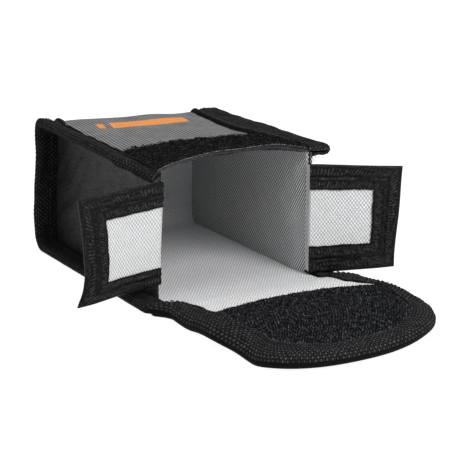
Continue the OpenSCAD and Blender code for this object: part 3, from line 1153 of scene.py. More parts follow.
    def seam_stitches(self, side: Side, nose: float) -> Object:
        """Makes a seam's two rows of stitches, one on each leg of its tape.

        Args:
            side: The seam's side.
            nose: Radius of the tape's nose, which is half its height.

        Returns:
            The stitches.
        """
        at = np.arange(3.0, self.path.total - 4, self.stitch_pitch)
        row = Sewing()
        for depth, reach in ((-0.42, 40.6 if side is Side.RIGHT else 43.0), (2 * nose + 0.1, 40.6)):
            x = np.full(len(at), side.value * reach)
            start, end = (self.carried(x, at + k, depth) for k in (0.0, self.stitch))
            away = self.carried(x, at, depth - math.copysign(1, nose - depth))
            row.rods(start, end, away - start, 0.19, 0.12)
        return row.piece(f"{side.word}_seam_stitches", THREAD)

    def build_lip(self) -> Object:
        """Makes the smooth binding of the front panel's mouth edge: two beads and an inner leg.

        Returns:
            The binding.
        """
        x = np.linspace(-39.6, 36.3, 150)
        turn = np.linspace(np.pi / 2, 3 * np.pi / 2, 22)
        beads = 1.1 + 0.42 * np.abs(np.sin(2 * (turn - np.pi / 2)))
        nose_y, nose_d = 0.3 + beads * np.cos(turn), 1.15 - 0.92 * np.sin(turn)
        leg_y, leg_d = (2.0, 4.0, 6.0, 6.2, 4.0, 2.0, 0.4), (2.5, 3.05, 3.65, 3.42, 2.84, 2.26, 1.95)
        top_y, top_d = (-0.5, 0.4, 2.5, 5.0, 5.0, 2.5), (1.5, 0.58, 0.55, 0.55, 0.3, 0.2)
        y, d = closed(np.concatenate([nose_y, leg_y, top_y]), np.concatenate([nose_d, leg_d, top_d]))
        wander = Ripple(41, 20)
        rows, ys = axes(x, y)
        depth = np.broadcast_to(d, rows.shape) + 0.08 * wander(rows, ys)
        points = self.form.settle(stack(rows, ys, self.path.height - depth))
        uv = stack(np.linspace(0, 14, len(y))[None], x[:, None])
        piece = Sewing().tube(points, uv).piece("mouth_lip", LIP_CLOTH, crease=50)
        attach(piece, "bag")
        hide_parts("mouth_binding")
        self.flatten(piece)
        return piece

    def loop_x(self, u: Array, t: Array) -> Array:
        """X on the loop strip: from the left tape's edge (u = -1) to the right one's (u = 1)."""
        left, right = self.loop_left, self.seam_edge(Side.RIGHT, np.clip(t, 0, 40)) + 0.5
        return left + (right - left) * (u + 1) / 2

    def build_loop(self) -> list[Object]:
        """Makes the loop strip: a lumpy base and a pile of small loose loops of thread.

        Returns:
            The base and the pile.
        """
        rng = np.random.default_rng(51)
        clump, edge_wave = Ripple(52, 6.5), Ripple(53, 7)
        u, v = axes(np.linspace(-1, 1, 130), np.linspace(0, 1, 70))
        end = self.loop_end + 0.55 * edge_wave(38 * u, 0 * u)
        y = -0.7 + v * (end + 0.7)
        x = self.loop_x(u, y)
        bulk = smooth(np.minimum(v, 1 - v) / 0.05) * smooth((1 - np.abs(u)) / 0.03)
        high = 0.75 + bulk * (0.35 + 0.3 * clump(x, y))
        level = self.path.height - self.dip
        faces = [self.form.settle(stack(x, y, z)) for z in (level + high, level - 0.05 + 0 * x)]
        base = Sewing().slab(*faces, stack(x, y)).piece("loop_tape", LOOP_PILE, crease=70)
        count = self.loops
        across, share = rng.uniform(-0.995, 0.995, count), rng.uniform(0, 1, count)
        py = -0.8 + share * (33.1 + 0.6 * edge_wave(38 * across, 0 * across) + rng.normal(0, 0.45, count))
        px = self.loop_x(across, py)
        turn, size = rng.uniform(0, 2 * np.pi, count), rng.uniform(0.45, 1.0, count)
        high = level + 0.95 + 0.3 * clump(px, py)
        start = self.form.settle(stack(px, py, high))
        end = self.form.settle(stack(px + size * np.cos(turn), py + size * np.sin(turn), high - 0.1))
        lean = stack(rng.normal(0, 0.45, count), rng.normal(0, 0.45, count), np.ones(count))
        loops = Sewing().rods(start, end, lean, 0.1, 0.62, (0, 0.25, 0.5, 0.75, 1), 3, 0.9)
        pile = loops.piece("loop_pile_threads", LOOP_PILE, crease=80)
        for piece in (base, pile):
            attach(piece, "bag")
            self.flatten(piece)
        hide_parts("loop_strip")
        return [base, pile]

    def build_thread_ends(self) -> Object:
        """Makes the few loose thread ends at the corners of the mouth.

        Returns:
            The thread ends.
        """
        start = np.array([[37.0, -0.6, 55.6], [38.2, -0.8, 56.0], [-37.4, -0.5, 55.0], [-38.6, -0.7, 54.6],
                          [36.6, -0.5, 54.8]])
        end = start + np.array([[1.3, -1.4, -2.2], [0.5, -1.8, -0.9], [1.2, -1.9, 0.9], [0.2, -2.2, 0.5],
                                [-0.3, -1.6, -2.6]])
        up = np.tile([0.2, -0.3, 1.0], (len(start), 1))
        piece = Sewing().rods(start, end, up, 0.11, 0.35, taper=0.7).piece("mouth_thread_ends", THREAD)
        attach(piece, "bag")
        return piece


@dataclass(frozen=True)
class Band:
    """A trapezoid of hem between an outer and an inner edge, as distances along an ear and heights."""

    outer: tuple[tuple[float, float], tuple[float, float]]
    inner: tuple[tuple[float, float], tuple[float, float]]
    width: float

    @property
    def length(self) -> float:
        """Length of the outer edge."""
        return math.dist(*self.outer)

    def edges(self, share: Array) -> list[Array]:
        """Points on the outer and on the inner edge, at shares of their lengths."""
        return [np.array(a) + share[:, None] * (np.array(b) - a) for a, b in (self.outer, self.inner)]


@dataclass
class Ear:
    """An ear of the mouth: outer cloth, lining and a stitched hem on its three free edges."""

    side: Side
    fold: tuple[float, float]
    angle: float
    low: float
    high: float
    # Shifts in Z of the lower and the upper outer corner
    corners: tuple[float, float]
    # Shifts of the outer edge along the ear, at the shares of its height in EDGE_AT
    edge: tuple[float, ...]
    curl: float
    hem_start: float
    hem_low: float
    hem_high: float
    length: float = 39.0
    hem_end: float = 13.5
    half_t: float = 1.0
    hem_t: float = 0.45
    EDGE_AT = (0.0, 0.12, 0.29, 0.67, 1.0)

    def directions(self) -> tuple[Array, Array]:
        """Unit vectors along the ear and out of its lining, in plan.

        Returns:
            The two vectors, as X and Y.
        """
        a = math.radians(self.angle)
        return (np.array([self.side.value * math.cos(a), -math.sin(a)]),
                np.array([-self.side.value * math.sin(a), -math.cos(a)]))

    def at(self, s: Array, out: Array, z: Array) -> Array:
        """Places points of the ear.

        The outer corners shift in Z by a share s/length, the outer edge is drawn in or flares by a
        share of its square, and the ear bends out of its plane by a curl and a slow ripple.

        Args:
            s: Distance from the fold.
            out: Height over the ear's middle, towards its lining.
            z: Height.

        Returns:
            The points.
        """
        s, out, z = np.broadcast_arrays(s, out, z)
        along, normal = self.directions()
        far = np.clip(s / self.length, 0, 1.1)
        up = np.clip((z - self.low) / (self.high - self.low), 0, 1)
        fine = np.linspace(0, 1, 101)
        edge = np.interp(fine, self.EDGE_AT, self.edge)
        edge = np.convolve(np.pad(edge, 6, mode="edge"), np.ones(13) / 13, "valid")
        s_shift = far ** 2 * np.interp(up, fine, edge)
        z_shift = far * ((1 - up) * self.corners[0] + up * self.corners[1])
        ripple = Ripple(61 + self.side.value, 40)
        bend = far ** 2 * self.curl * (1 - 0.6 * up) + 0.55 * far * ripple(s, z)
        plan = np.array(self.fold) + (s + s_shift)[..., None] * along + (out + bend)[..., None] * normal
        wall = BagForm().settle(stack(self.fold[0], 2.0, z))[..., 0] - self.fold[0]
        return stack(plan[..., 0] + wall * (1 - smooth((s + 2) / 16)), plan[..., 1], z + z_shift)

    def ply(self, name: str, finish: Finish, start: list[tuple[float, float]], out: float,
            thick: float) -> Object:
        """A ply that runs on from the gusset, round the fold and along the ear.

        Args:
            name: The piece's name.
            finish: Its finish.
            start: Plan points on the bag that it starts from, for the right side.
            out: Height of its outer face over the ear's middle.
            thick: Its thickness, towards the ear's middle.

        Returns:
            The piece, which runs from the bag round the fold to the ear.
        """
        z = np.linspace(self.low + 0.8, self.high - 0.8, 56)
        root, free = np.linspace(self.hem_start + 0.6, 6, 16), np.linspace(6.8, self.length - 0.9, 46)
        rows, heights = axes(np.concatenate([root, free]), z)
        faces = []
        for level in (out, out - math.copysign(thick, out)):
            ear = self.at(rows, level + 0 * rows, heights)
            nose = np.array(start) + np.array((0.0 if level == out else math.copysign(0.55, out), 0.0))
            plan = nose * (self.side.value, 1)
            settled = BagForm().settle(stack(plan[:, None, 0], plan[:, None, 1], ear[:1, :, 2]))
            knots = np.concatenate([settled[..., :2], ear[:1, :, :2]])
            k = np.linspace(0, len(knots) - 1, 22)[:-1]
            low = np.clip(k.astype(int), 0, len(knots) - 2)
            part = smooth(k - low)[:, None, None] * 0.35 + (k - low)[:, None, None] * 0.65
            bridge = knots[low] * (1 - part) + knots[low + 1] * part
            heights_in = np.broadcast_to(ear[:1, :, 2], bridge.shape[:2])
            faces.append(np.concatenate([stack(bridge[..., 0], bridge[..., 1], heights_in), ear]))
        steps = np.linalg.norm(np.diff(faces[0][:, 0, :2], axis=0), axis=1)
        run = start[0][1] - np.concatenate([[0], np.cumsum(steps)])
        uv = stack(run[:, None], faces[0][..., 2])
        return self.bend(Sewing().slab(*faces, uv).piece(name, finish))

    def bend(self, piece: Object) -> Object:
        """Bakes a piece's transform into its mesh.

        Args:
            piece: The piece.

        Returns:
            The same piece.
        """
        along = self.directions()[0]
        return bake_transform(piece)

    def sew_band(self, hem: Sewing, band: Band) -> None:
        """Sews one band of the hem.

        Its section is a flat U with a round nose, with a shallow crease along it and wrinkles
        across it.

        Args:
            hem: What it is sewn to.
            band: The band.
        """
        wrinkle, width, half_t = Ripple(71 + self.side.value, 7), band.width, self.half_t
        row = np.linspace(0, 1, int(band.length / 0.42))
        turn = np.linspace(np.pi / 2, -np.pi / 2, 9)
        leg = np.linspace(width, half_t, 27)[:-1]
        e = np.concatenate([leg, half_t - half_t * np.cos(turn), leg[::-1]])
        n = np.concatenate([0 * leg + half_t, half_t * np.sin(turn), 0 * leg - half_t])
        inner_turn, ir = turn[::-2], half_t - self.hem_t
        e_in = np.concatenate([[width], half_t - ir * np.cos(inner_turn), [width]])
        n_in = np.concatenate([[-ir], ir * np.sin(inner_turn), [ir]])
        run = row[:, None] * band.length
        crease = -0.35 * hill(e, width * 0.5, 0.8) + 0.2 * hill(e, width * 0.5 + 1.2, 1.1)
        rows = hill(e, width * 0.27, 2.2) + hill(e, width * 0.78, 2.4)
        marks = np.abs(np.sin(np.pi * run / HEM_CLOTH.pucker)) * rows
        lift = crease - 0.26 * marks + 0.16 * wrinkle(run, 2.2 * e) + 0.05 * np.sin(run * 7 + 2 * e)
        lift = np.maximum(lift, -0.4)
        lift = lift * (np.abs(n) > 0.9 * half_t) * smooth((width - e) / 0.8)
        n_all = np.concatenate([n + lift * np.sign(n), np.broadcast_to(n_in, (len(row), len(n_in)))], 1)
        e_all = np.broadcast_to(np.concatenate([e, e_in]), n_all.shape)
        n_all, e_all = closed(n_all, e_all)
        ragged = 1 + 0.012 * wrinkle(run + 40, 0 * run) * (e_all > 0.96 * width)
        outer, inner = band.edges(row)
        place = outer[:, None] + (e_all * ragged / width)[..., None] * (inner - outer)[:, None]
        hem.tube(self.at(place[..., 0], n_all, place[..., 1]), stack(12 * e_all / width, run))

    def stitch_band(self, thread: Sewing, band: Band) -> None:
        """Sews a band's stitches: two rows on each of its faces.

        Args:
            thread: What they are sewn to.
            band: The band.
        """
        at = np.arange(0.06, 0.94, 2.4 / band.length)
        for share, face in product((0.9, 0.3), (1, -1)):
            ends = []
            for k in (0.0, 1.6 / band.length):
                outer, inner = band.edges(at + k)
                spot = outer + share * (inner - outer)
                ends.append(self.at(spot[:, 0], face * (self.half_t + 0.02), spot[:, 1]))
            up = np.broadcast_to([*(face * self.directions()[1]), 0.0], ends[0].shape)
            thread.rods(*ends, up, 0.17, 0.1)

    def build_hem(self) -> list[Object]:
        """Makes the hem: three folded bands with mitred corners, and their stitches.

        Returns:
            The hem and the stitches.
        """
        zt, zb, end, start = self.high, self.low, self.length, self.hem_start
        inner_s, top, low = end - self.hem_end, zt - self.hem_high, zb + self.hem_low
        bands = (
            Band(((start, zt), (end, zt)), ((start, top), (inner_s, top)), self.hem_high),
            Band(((end, zt), (end, zb)), ((inner_s, top), (inner_s, low)), self.hem_end),
            Band(((end, zb), (start, zb)), ((inner_s, low), (start, low)), self.hem_low),
        )
        hem, thread = Sewing(), Sewing()
        for band in bands:
            self.sew_band(hem, band)
            self.stitch_band(thread, band)
        body = f"{self.side.word}_ear"
        hem_piece = hem.piece(f"{body}_hem_band", HEM_CLOTH, crease=55)
        thread_piece = thread.piece(f"{body}_stitches", THREAD)
        for piece in (hem_piece, thread_piece):
            self.bend(piece)
        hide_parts(f"{body}_hem")
        return [hem_piece, thread_piece]

    def build(self) -> list[Object]:
        """Makes the ear's cloth, lining and hem.

        Returns:
            The pieces.
        """
        body = f"{self.side.word}_ear"
        turn = self.at(np.array(self.hem_start), np.array(0.3), np.array(30.0)) * (self.side.value, 1, 1)
        start = [(37.55, 2.4), (37.5, 1.2), (37.2, turn[1] + 1.3)]
        cloth = self.ply(f"{body}_cloth", GUSSET_CLOTH, start, -0.5, 0.5)
        root = (3.0, 1.4) if self.side is Side.LEFT else (1.5, 0.6)
        start = [(36.05, root[0]), (36.1, root[1]), (min(36.2, turn[0] + 0.1), turn[1] + 0.5)]
        lining = self.ply(f"{body}_lining_cloth", LINING, start, 0.42, 0.36)
        for piece, node in ((cloth, "shell"), (lining, "lining")):
            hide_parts(f"{body}_{node}")
        return [cloth, lining, *self.build_hem()]


@dataclass
class FlapForm:
    """The arched lie of the open flap: slopes along it, and its crown and tilt across it."""

    slope_at: tuple[float, ...] = (0, 3, 8, 14, 30, 45, 58, 72, 85, 95, 108)
    slopes: tuple[float, ...] = (0, 0, 7, 13.2, 14.1, 4.8, -4.7, -7.2, -8, -10.8, -13.8)
    datum: float = 2.55
    start_z: float = 1.62
    crown: float = 1.95
    tilt: float = 0.016
    edge_droop: float = 0.007
    # Shifts across: to the right along the middle, then back to the left towards the end
    drift: tuple[float, float] = (5.0, 8.6)
    # The left edge is drawn in where the tip starts to round
    trim: float = 3.8
    rest_z: float = 0.04

    def line(self, s: Array) -> tuple[Array, Array, Array]:
        """The middle line: slopes are joined smoothly and summed along the length.

        Args:
            s: Distance from the mouth edge along the flap.

        Returns:
            Y, Z and slope angle of the line.
        """
        fine = np.linspace(-6, 112, 2361)
        angle = np.radians(np.interp(fine, self.slope_at, self.slopes))
        window = np.hanning(81)
        angle = np.convolve(np.pad(angle, 40, mode="edge"), window / window.sum(), "valid")
        step = fine[1] - fine[0]
        zero = np.searchsorted(fine, 0)
        y, z = -np.cumsum(np.cos(angle)) * step, np.cumsum(np.sin(angle)) * step
        y, z = y - y[zero], z - z[zero] + self.start_z
        return np.interp(s, fine, y), np.interp(s, fine, z), np.interp(s, fine, angle)

    def place(self, x: Array, s: Array, high: Array) -> Array:
        """Places points of the flap.

        Args:
            x: Distance across from its middle.
            s: Distance from the mouth edge along it.
            high: Height over its underside when flat.

        Returns:
            The points.
        """
        x, s, high = np.broadcast_arrays(x, s, high)
        y, z, angle = self.line(s)
        full = smooth((s - 10) / 28) * (1 - 0.65 * smooth((s - 80) / 24))
        over = np.maximum(np.abs(x) - 33, 0)
        side = full * (-self.crown * (x / 33) ** 2 + self.tilt * x - self.edge_droop * over ** 2)
        shift = self.drift[0] * smooth((s - 8) / 14) - self.drift[1] * smooth((s - 66) / 38)
        shift = shift + self.trim * hill(s, 78, 27) * np.clip(-x / 47, 0, 1) ** 2
        lift = high - self.datum
        z = np.maximum(z + lift * np.cos(angle) + side, self.rest_z)
        return stack(x + shift, y + lift * np.sin(angle), z)


@dataclass
class Flap:
    """The flap: outer cloth, felt, lining, woven tape round its edge and the hook patch."""

    # Outline: half width, where the round end starts, its length and its power
    half: float = 47.0
    round_s: float = 67.5
    round_len: float = 35.0
    power: float = 2.3
    start: float = 3.0
    split: float = 58.0
    # Hook patch: where it starts, the slant of its start, and how far its edge lies in
    hook_start: float = 44.6
    hook_slant: float = 0.1
    hook_inset: float = 7.5
    # Its base: height of its lower face and thickness; its pegs: from one to the next
    hook_bed: float = 4.08
    hook_thick: float = 0.75
    peg_pitch: float = 0.86
    # Edge tape: width of its upper leg, length of its lower leg and radius of its nose
    tape: float = 11.8
    under: float = 7.0
    nose: float = 2.55
    # Lengths of the flap's root fold and of its crease, which `bend` reads but does not use
    root: tuple[float, float] = (6.0, 19.0)
    crease: tuple[float, float] = (63.0, 81.0)
    form: FlapForm = field(default_factory=FlapForm)
    # Each ply's word, its node's word, its finish, the height of its lower face and its thickness
    PLIES = (
        ("cloth", "shell", BACK_CLOTH, 1.05, 0.85),
        ("felt_board", "padding", FELT, 1.97, 1.5),
        ("lining_cloth", "lining", LINING, 3.55, 0.5),
    )

    def edge(self, s: Array, inset: Array) -> Array:
        """Half width at s, inset from the edge: straight sides, then |x/a|^n + |s/b|^n = 1."""
        past = np.clip((np.asarray(s) - self.round_s) / (self.round_len - inset), 0, 1)
        return (self.half - inset) * (1 - past ** self.power) ** (1 / self.power)

    def tape_width(self, x: Array, s: Array) -> Array:
        """Width of the edge tape's upper leg by the place on the flap's edge.

        Args:
            x: Distance across from the middle.
            s: Distance from the mouth edge.

        Returns:
            The widths: drawn in between stations on the right, and less along the front.
        """
        left = 10.2 + 1.6 * smooth((s - 58) / 16)
        stations, widths = (11, 20, 32, 38, 42, 45.5, 52, 60, 70), (8, 12.5, 16, 14.5, 11.5, 8.2, 9, 11, 11.8)
        right = np.interp(s, stations, widths)
        front = 2.8 * smooth((s - 80) / 8) * smooth((x + 24) / 16) * (1 - smooth((x - 24) / 10))
        return np.where(x < 0, left, right) - front

    def bend(self, piece: Object, tip: bool) -> Object:
        """Bakes a piece's transform into its mesh.

        Args:
            piece: The piece.
            tip: Whether it is a piece of the tip; it picks the lengths in `crease` or `root`, which are then
                not used.

        Returns:
            The same piece.
        """
        ends = [(0, *(float(v) * MM for v in self.form.line(np.array(s))[:2]))
                for s in (self.crease if tip else self.root)]
        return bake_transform(piece)

    def ply(self, name: str, finish: Finish, tip: bool, low: float, thick: float) -> Object:
        """One ply of a length of the flap.

        Args:
            name: The piece's name.
            finish: Its finish.
            tip: Whether it is the outer length, past the split.
            low: Height of its lower face.
            thick: Its thickness.

        Returns:
            The piece.
        """
        last = self.round_s + self.round_len - self.nose - 0.7
        turn = np.sin(np.linspace(0, np.pi / 2, 90))
        s = self.split + (last - self.split) * turn if tip else np.linspace(self.start, self.split, 110)
        u, along = axes(np.linspace(-1, 1, 81), s)
        width = self.edge(along, self.nose + 0.6)
        width = 36.5 + (width - 36.5) * smooth((along - 10.5) / 3) if not tip else width
        x = u * width
        pucker = 0.16 * Ripple(81, 12)(x, along) * smooth((along - 8) / 10)
        faces = [self.form.place(x, along, high + pucker) for high in (low + thick, low)]
        sewn = Sewing().slab(*faces, stack(x, along + WrapPath().total))
        return self.bend(sewn.piece(name, finish), tip)

    def outline(self, tip: bool, side: Side) -> tuple[Array, Array]:
        """The tape's line in plan, as x and s, and its inward direction.

        The root length is one straight side. The outer length goes down the left side, round a
        full end and back up the right side. Inward is down the slope of |x/a|^n + |s/b|^n.

        Args:
            tip: Whether it is the outer length.
            side: The side of a root length.

        Returns:
            Points and inward unit vectors.
        """
        step = 0.27
        if not tip:
            s = np.arange(11.2, self.split + step / 2, step)
            return stack(0 * s + side.value * self.half, s), stack(0 * s - side.value, 0 * s)
        down = np.arange(self.split, self.round_s, step)
        turn = np.linspace(0, np.pi, int(self.half * np.pi / step * 0.9))
        n = self.power
        a = np.sign(np.cos(turn)) * np.abs(np.cos(turn)) ** (2 / n)
        b = np.clip(np.sin(turn), 0, 1) ** (2 / n)
        points = [stack(0 * down - self.half, down),
                  stack(-self.half * a, self.round_s + self.round_len * b),
                  stack(0 * down + self.half, down[::-1])]
        steep = np.sign(a) * np.abs(a) ** (n - 1) / self.half
        inward = [stack(0 * down + 1, 0 * down),
                  unit(stack(steep, -b ** (n - 1) / self.round_len)),
                  stack(0 * down - 1, 0 * down)]
        return np.concatenate(points), np.concatenate(inward)

    def build_tape(self, name: str, tip: bool, side: Side) -> list[Object]:
        """Makes a length of the woven edge tape with its stitches.

        The section is a U round the edge: upper leg, round nose, lower leg. The upper leg and the
        nose carry the crowns of the weave, and the upper leg's inner edge wanders.

        Args:
            name: The tape's name.
            tip: Whether it is the outer length.
            side: The side of a root length.

        Returns:
            The tape and the stitches.
        """
        line, inward = self.outline(tip, side)
        run = np.concatenate([[0], np.cumsum(np.linalg.norm(np.diff(line, axis=0), axis=1))])[:, None]
        r, thick = self.nose, 0.9
        turn = np.linspace(np.pi / 2, -np.pi / 2, 25)
        upper, lower = np.linspace(1, 0, 37)[:-1], np.linspace(0, 1, 7)[1:]
        leg = self.tape_width(line[:, :1], line[:, 1:]) - r
        leg = leg + (0.25 if tip else 0.5) * Ripple(91 + side.value, 13)(run, 0 * run)
        under = self.under + 0.3 * Ripple(97 + side.value, 16)(run, 0 * run)
        round_nose = np.broadcast_to(r - r * np.cos(turn), (len(run), len(turn)))
        e = np.concatenate([r + leg * upper, round_nose, r + under * lower], 1)
        h = np.concatenate([0 * upper + 2 * r, r + r * np.sin(turn), 0 * lower])
        out_e = np.concatenate([0 * upper, -np.cos(turn), 0 * lower])
        out_h = np.concatenate([0 * upper + 1, np.sin(turn), 0 * lower - 1])
        girth = np.concatenate([(self.tape - r) * (1 - upper), self.tape - r + r * (np.pi / 2 - turn),
                                self.tape - r + r * np.pi + self.under * lower])
        worn = np.concatenate([0 * upper + 1, smooth((np.sin(turn) - 0.1) / 0.45), 0 * lower])
        crowns = 0.24 * woven(run, girth[None], FLAP_TAPE.pitch, FLAP_TAPE.width)
        puff = 0.45 * np.sin(np.pi * np.clip((girth - 0.8) / 9, 0, 1))
        ridge = 0.3 * np.exp(-((girth - 1) / 0.9) ** 2) * smooth((line[:, 1:] - 60) / 10)
        lift = worn * (crowns + puff + ridge + 0.14 * Ripple(95, 9)(run, 2 * girth[None]))
        back = turn[::-5]
        round_back = np.broadcast_to(r - (r - thick) * np.cos(back), (len(run), len(back)))
        e_in = np.concatenate([r + under, round_back, r + leg], 1)
        h_in = np.concatenate([[thick], r + (r - thick) * np.sin(back), [2 * r - thick]])
        e = np.concatenate([e + lift * out_e, e_in], 1)
        h = np.concatenate([h + lift * out_h, np.broadcast_to(h_in, (len(run), len(h_in)))], 1)
        width = np.concatenate([girth, girth[-1] + np.linspace(1, 8, len(h_in))])
        e, h, width = closed(e, h, width)
        plan = line[:, None] + e[..., None] * inward[:, None]
        sewn = Sewing().tube(self.form.place(plan[..., 0], plan[..., 1], h), stack(width[None], run))
        piece = self.bend(sewn.piece(name, FLAP_TAPE, crease=65), tip)

        every = np.arange(4, len(line) - 9, 10)
        row = Sewing()
        for share in (0.24, 0.78):
            ends = []
            for k in (0, 6):
                spot = line[every + k] + (r + leg[every + k] * (1 - share)) * inward[every + k]
                ends.append(self.form.place(spot[:, 0], spot[:, 1], 2 * r + 0.62))
            row.rods(*ends, np.tile([0, 0, 1.0], (len(every), 1)), 0.2, 0.12)
        thread = self.bend(row.piece(f"{name}_stitches", THREAD), tip)
        return [piece, thread]

    def build_hook(self) -> list[Object]:
        """Makes the hook patch: a base that goes under the tape's leg, and rows of stiff pegs.

        Returns:
            The base and the pegs.
        """
        last = self.round_s + self.round_len - self.hook_inset
        turn = np.sin(np.linspace(0, np.pi / 2, 80))
        u, turns = axes(np.linspace(-1, 1, 100), turn)
        first = self.hook_start + self.hook_slant * 37.5 * u
        s = first + (last - first) * turns
        x = u * self.edge(s, self.hook_inset)
        bed, top = self.hook_bed, self.hook_bed + self.hook_thick
        wave = 0.12 * Ripple(101, 6)(x, s)
        faces = [self.form.place(x, s, high) for high in (top + wave, bed)]
        sewn = Sewing().slab(*faces, stack(x, -s))
        patch = self.bend(sewn.piece("hook_patch", HOOK_TAPE, crease=60), True)
        rng = np.random.default_rng(102)
        rows = np.arange(self.hook_start - 3.4, last - 0.5, self.peg_pitch)
        px, ps = axes(np.arange(-37, 39, self.peg_pitch), rows)
        px = px + rng.normal(0, 0.16, px.shape)
        ps = ps + rng.normal(0, 0.16, ps.shape)
        inside = np.abs(px) < self.edge(ps, self.tape_width(px, ps) + 1.0)
        inside &= ps > self.hook_start + self.hook_slant * px + 0.6
        px, ps = px[inside], ps[inside]
        foot = self.form.place(px, ps, top - 0.1)
        head = self.form.place(px + rng.normal(0, 0.22, px.shape), ps + rng.normal(0, 0.22, ps.shape),
                               top + rng.uniform(0.35, 0.68, px.shape))
        up = np.tile([0.3, 1.0, 0.1], (len(px), 1))
        pegs = Sewing().rods(foot, head, up, 0.16, 0.05, (0, 0.75, 1), 4, 0.9)
        stubble = self.bend(pegs.piece("hook_stubble", HOOK_TAPE, crease=80), True)
        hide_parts("hook_patch_lower", "hook_patch_upper")
        return [patch, stubble]

    def build(self) -> list[Object]:
        """Makes both lengths of the flap.

        Returns:
            The pieces.
        """
        made = []
        for tip, word in ((False, "cover"), (True, "tip")):
            plies = []
            for kind, node, finish, low, thick in self.PLIES:
                plies.append(self.ply(f"flap_{word}_{kind}", finish, tip, low, thick))
                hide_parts(f"flap_{word}_{node}")
            made += plies
        for side in Side:
            tape = self.build_tape(f"flap_{side.word}_tape", False, side)
            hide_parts(f"flap_cover_{side.word}_binding")
            made += tape
        tape = self.build_tape("flap_tip_tape", True, Side.LEFT)
        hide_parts("flap_tip_binding")
        return made + tape + self.build_hook()


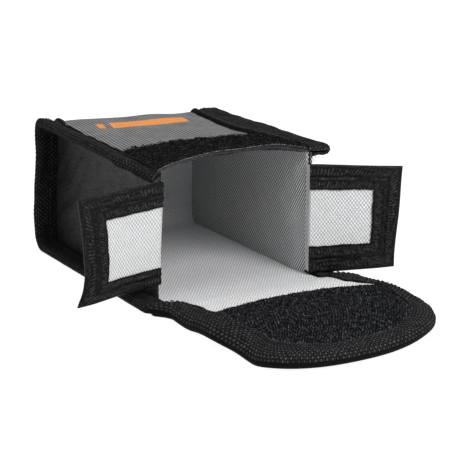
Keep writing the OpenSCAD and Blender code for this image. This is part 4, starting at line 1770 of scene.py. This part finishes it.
@dataclass
class Studio:
    """The pale floor, the soft lamps, the white surroundings and the camera."""

    azimuth: float = -29.984
    elevation: float = 15.619
    target: tuple[float, float, float] = (3.188, 5.466, 23.814)
    distance: float = 700.0
    lens: float = 125.38
    # Strength of the surroundings as a light
    surround: float = 0.3
    # Floor: half its width, its paint, and the strength and share of the glow that the camera sees
    floor_half: float = 6000.0
    paint: float = 0.9
    glow: float = 1.25
    glow_share: float = 0.75
    # Each lamp's name, place, width and power in watts
    LAMPS = (
        ("key_lamp", (160, -820, 720), 600, 10.0),
        ("top_lamp", (80, 60, 950), 600, 4.5),
        ("side_lamp", (-900, -250, 420), 500, 1.2),
    )

    def build_floor(self) -> Object:
        """Makes a wide floor that camera rays see nearly white, with the bag's soft shadow.

        Returns:
            The floor.
        """
        line = np.linspace(-1, 1, 3) * self.floor_half
        x, y = axes(line, line)
        mesh = bpy.data.meshes.new("floor")
        index = np.arange(9).reshape(3, 3)
        quads = np.stack([index[:-1, :-1], index[1:, :-1], index[1:, 1:], index[:-1, 1:]], -1).reshape(-1, 4)
        mesh.from_pydata((stack(x, y, 0 * x) * MM).reshape(-1, 3).tolist(), [], quads.tolist())
        desk = Desk("studio_floor")
        glow = desk.add("Emission", (1, 1, 1, 1), self.glow)
        seen = self.camera_share(desk) * self.glow_share
        mixed = desk.add("MixShader", seen, desk.shader.outputs[0], glow.outputs[0])
        desk.finish((self.paint,) * 3, 0.9, None)
        desk.plug(desk.output.inputs[0], mixed.outputs[0])
        mesh.materials.append(desk.material)
        floor = bpy.data.objects.new("floor", mesh)
        bpy.context.scene.collection.objects.link(floor)
        return floor

    @staticmethod
    def camera_share(desk: Desk) -> Field:
        """1 for rays from the camera, a reflection or a transmission, else 0.

        Args:
            desk: The desk of the material that asks.

        Returns:
            The share.
        """
        path = desk.add("LightPath").outputs
        share = desk.math("ADD", path["Is Camera Ray"], path["Is Glossy Ray"])
        return desk.math("MINIMUM", share + path["Is Transmission Ray"], 1.0)

    def build_world(self) -> None:
        """Makes surroundings that are white to look at and give a plain soft light."""
        world = bpy.data.worlds.new("studio")
        bpy.context.scene.world = world
        world.use_nodes = True
        tree = world.node_tree
        tree.nodes.clear()
        path = tree.nodes.new("ShaderNodeLightPath")
        level = tree.nodes.new("ShaderNodeMapRange")
        level.inputs["To Min"].default_value = self.surround
        level.inputs["To Max"].default_value = 1.0
        back = tree.nodes.new("ShaderNodeBackground")
        output = tree.nodes.new("ShaderNodeOutputWorld")
        tree.links.new(path.outputs["Is Camera Ray"], level.inputs["Value"])
        tree.links.new(level.outputs[0], back.inputs["Strength"])
        tree.links.new(back.outputs[0], output.inputs[0])

    def build_lamp(self, name: str, place: tuple[float, float, float], width: float, watts: float) -> None:
        """Makes a square soft lamp that faces the bag.

        Args:
            name: The lamp's name.
            place: Where it stands.
            width: Its width.
            watts: Its power.
        """
        lamp = bpy.data.lights.new(name, "AREA")
        lamp.shape = "SQUARE"
        lamp.size = width * MM
        lamp.energy = watts
        obj = bpy.data.objects.new(name, lamp)
        obj.location = Vector(place) * MM
        aim = Vector((0, 0, 30)) * MM - obj.location
        obj.rotation_euler = aim.to_track_quat("-Z", "Y").to_euler()
        bpy.context.scene.collection.objects.link(obj)

    def build_camera(self) -> None:
        """Makes the camera: it looks at the target from its azimuth and elevation."""
        az, el = math.radians(self.azimuth), math.radians(self.elevation)
        ahead = Vector((-math.sin(az) * math.cos(el), math.cos(az) * math.cos(el), -math.sin(el)))
        camera = bpy.data.cameras.new("camera")
        camera.lens, camera.sensor_width, camera.sensor_fit = self.lens, 36.0, "HORIZONTAL"
        camera.clip_end = 50.0
        obj = bpy.data.objects.new("camera", camera)
        obj.location = (Vector(self.target) - ahead * self.distance) * MM
        obj.rotation_euler = ahead.to_track_quat("-Z", "Y").to_euler()
        bpy.context.scene.collection.objects.link(obj)
        bpy.context.scene.camera = obj

    def build(self) -> None:
        """Sets up the whole studio."""
        self.build_camera()
        self.build_floor()
        self.build_world()
        for lamp in self.LAMPS:
            self.build_lamp(*lamp)
        bpy.context.scene.view_settings.view_transform = "Standard"


def main() -> None:
    """Builds the studio and the bag's pieces in order and reports each."""
    logging.basicConfig(level=logging.INFO, format="%(name)s: %(message)s")
    Studio().build()
    body = BagBody()
    made = body.build_panels()
    for side in Side:
        made += body.build_gusset(side) + body.build_seam(side)
    made += [body.build_lip(), *body.build_loop(), body.build_thread_ends()]
    ears = (
        Ear(Side.LEFT, fold=(-38.4, -0.9), angle=7.0, low=9.4, high=53.2, corners=(-2.0, -1.7),
            edge=(0.1, -3.2, -4.8, -3.6, -2.1), curl=1.0, hem_start=-2.2, hem_low=7.6, hem_high=10.6),
        Ear(Side.RIGHT, fold=(38.4, -3.7), angle=24.5, low=3.9, high=52.7, corners=(2.0, -1.9),
            edge=(-4.2, -4.2, -3.6, -2.4, -1.3), curl=-0.5, hem_start=-3.2, hem_low=12.4, hem_high=11.2),
    )
    for ear in ears:
        made += ear.build()
    made += Flap().build()
    log.info("%d pieces made", len(made))


if __name__ == "__main__":
    main()
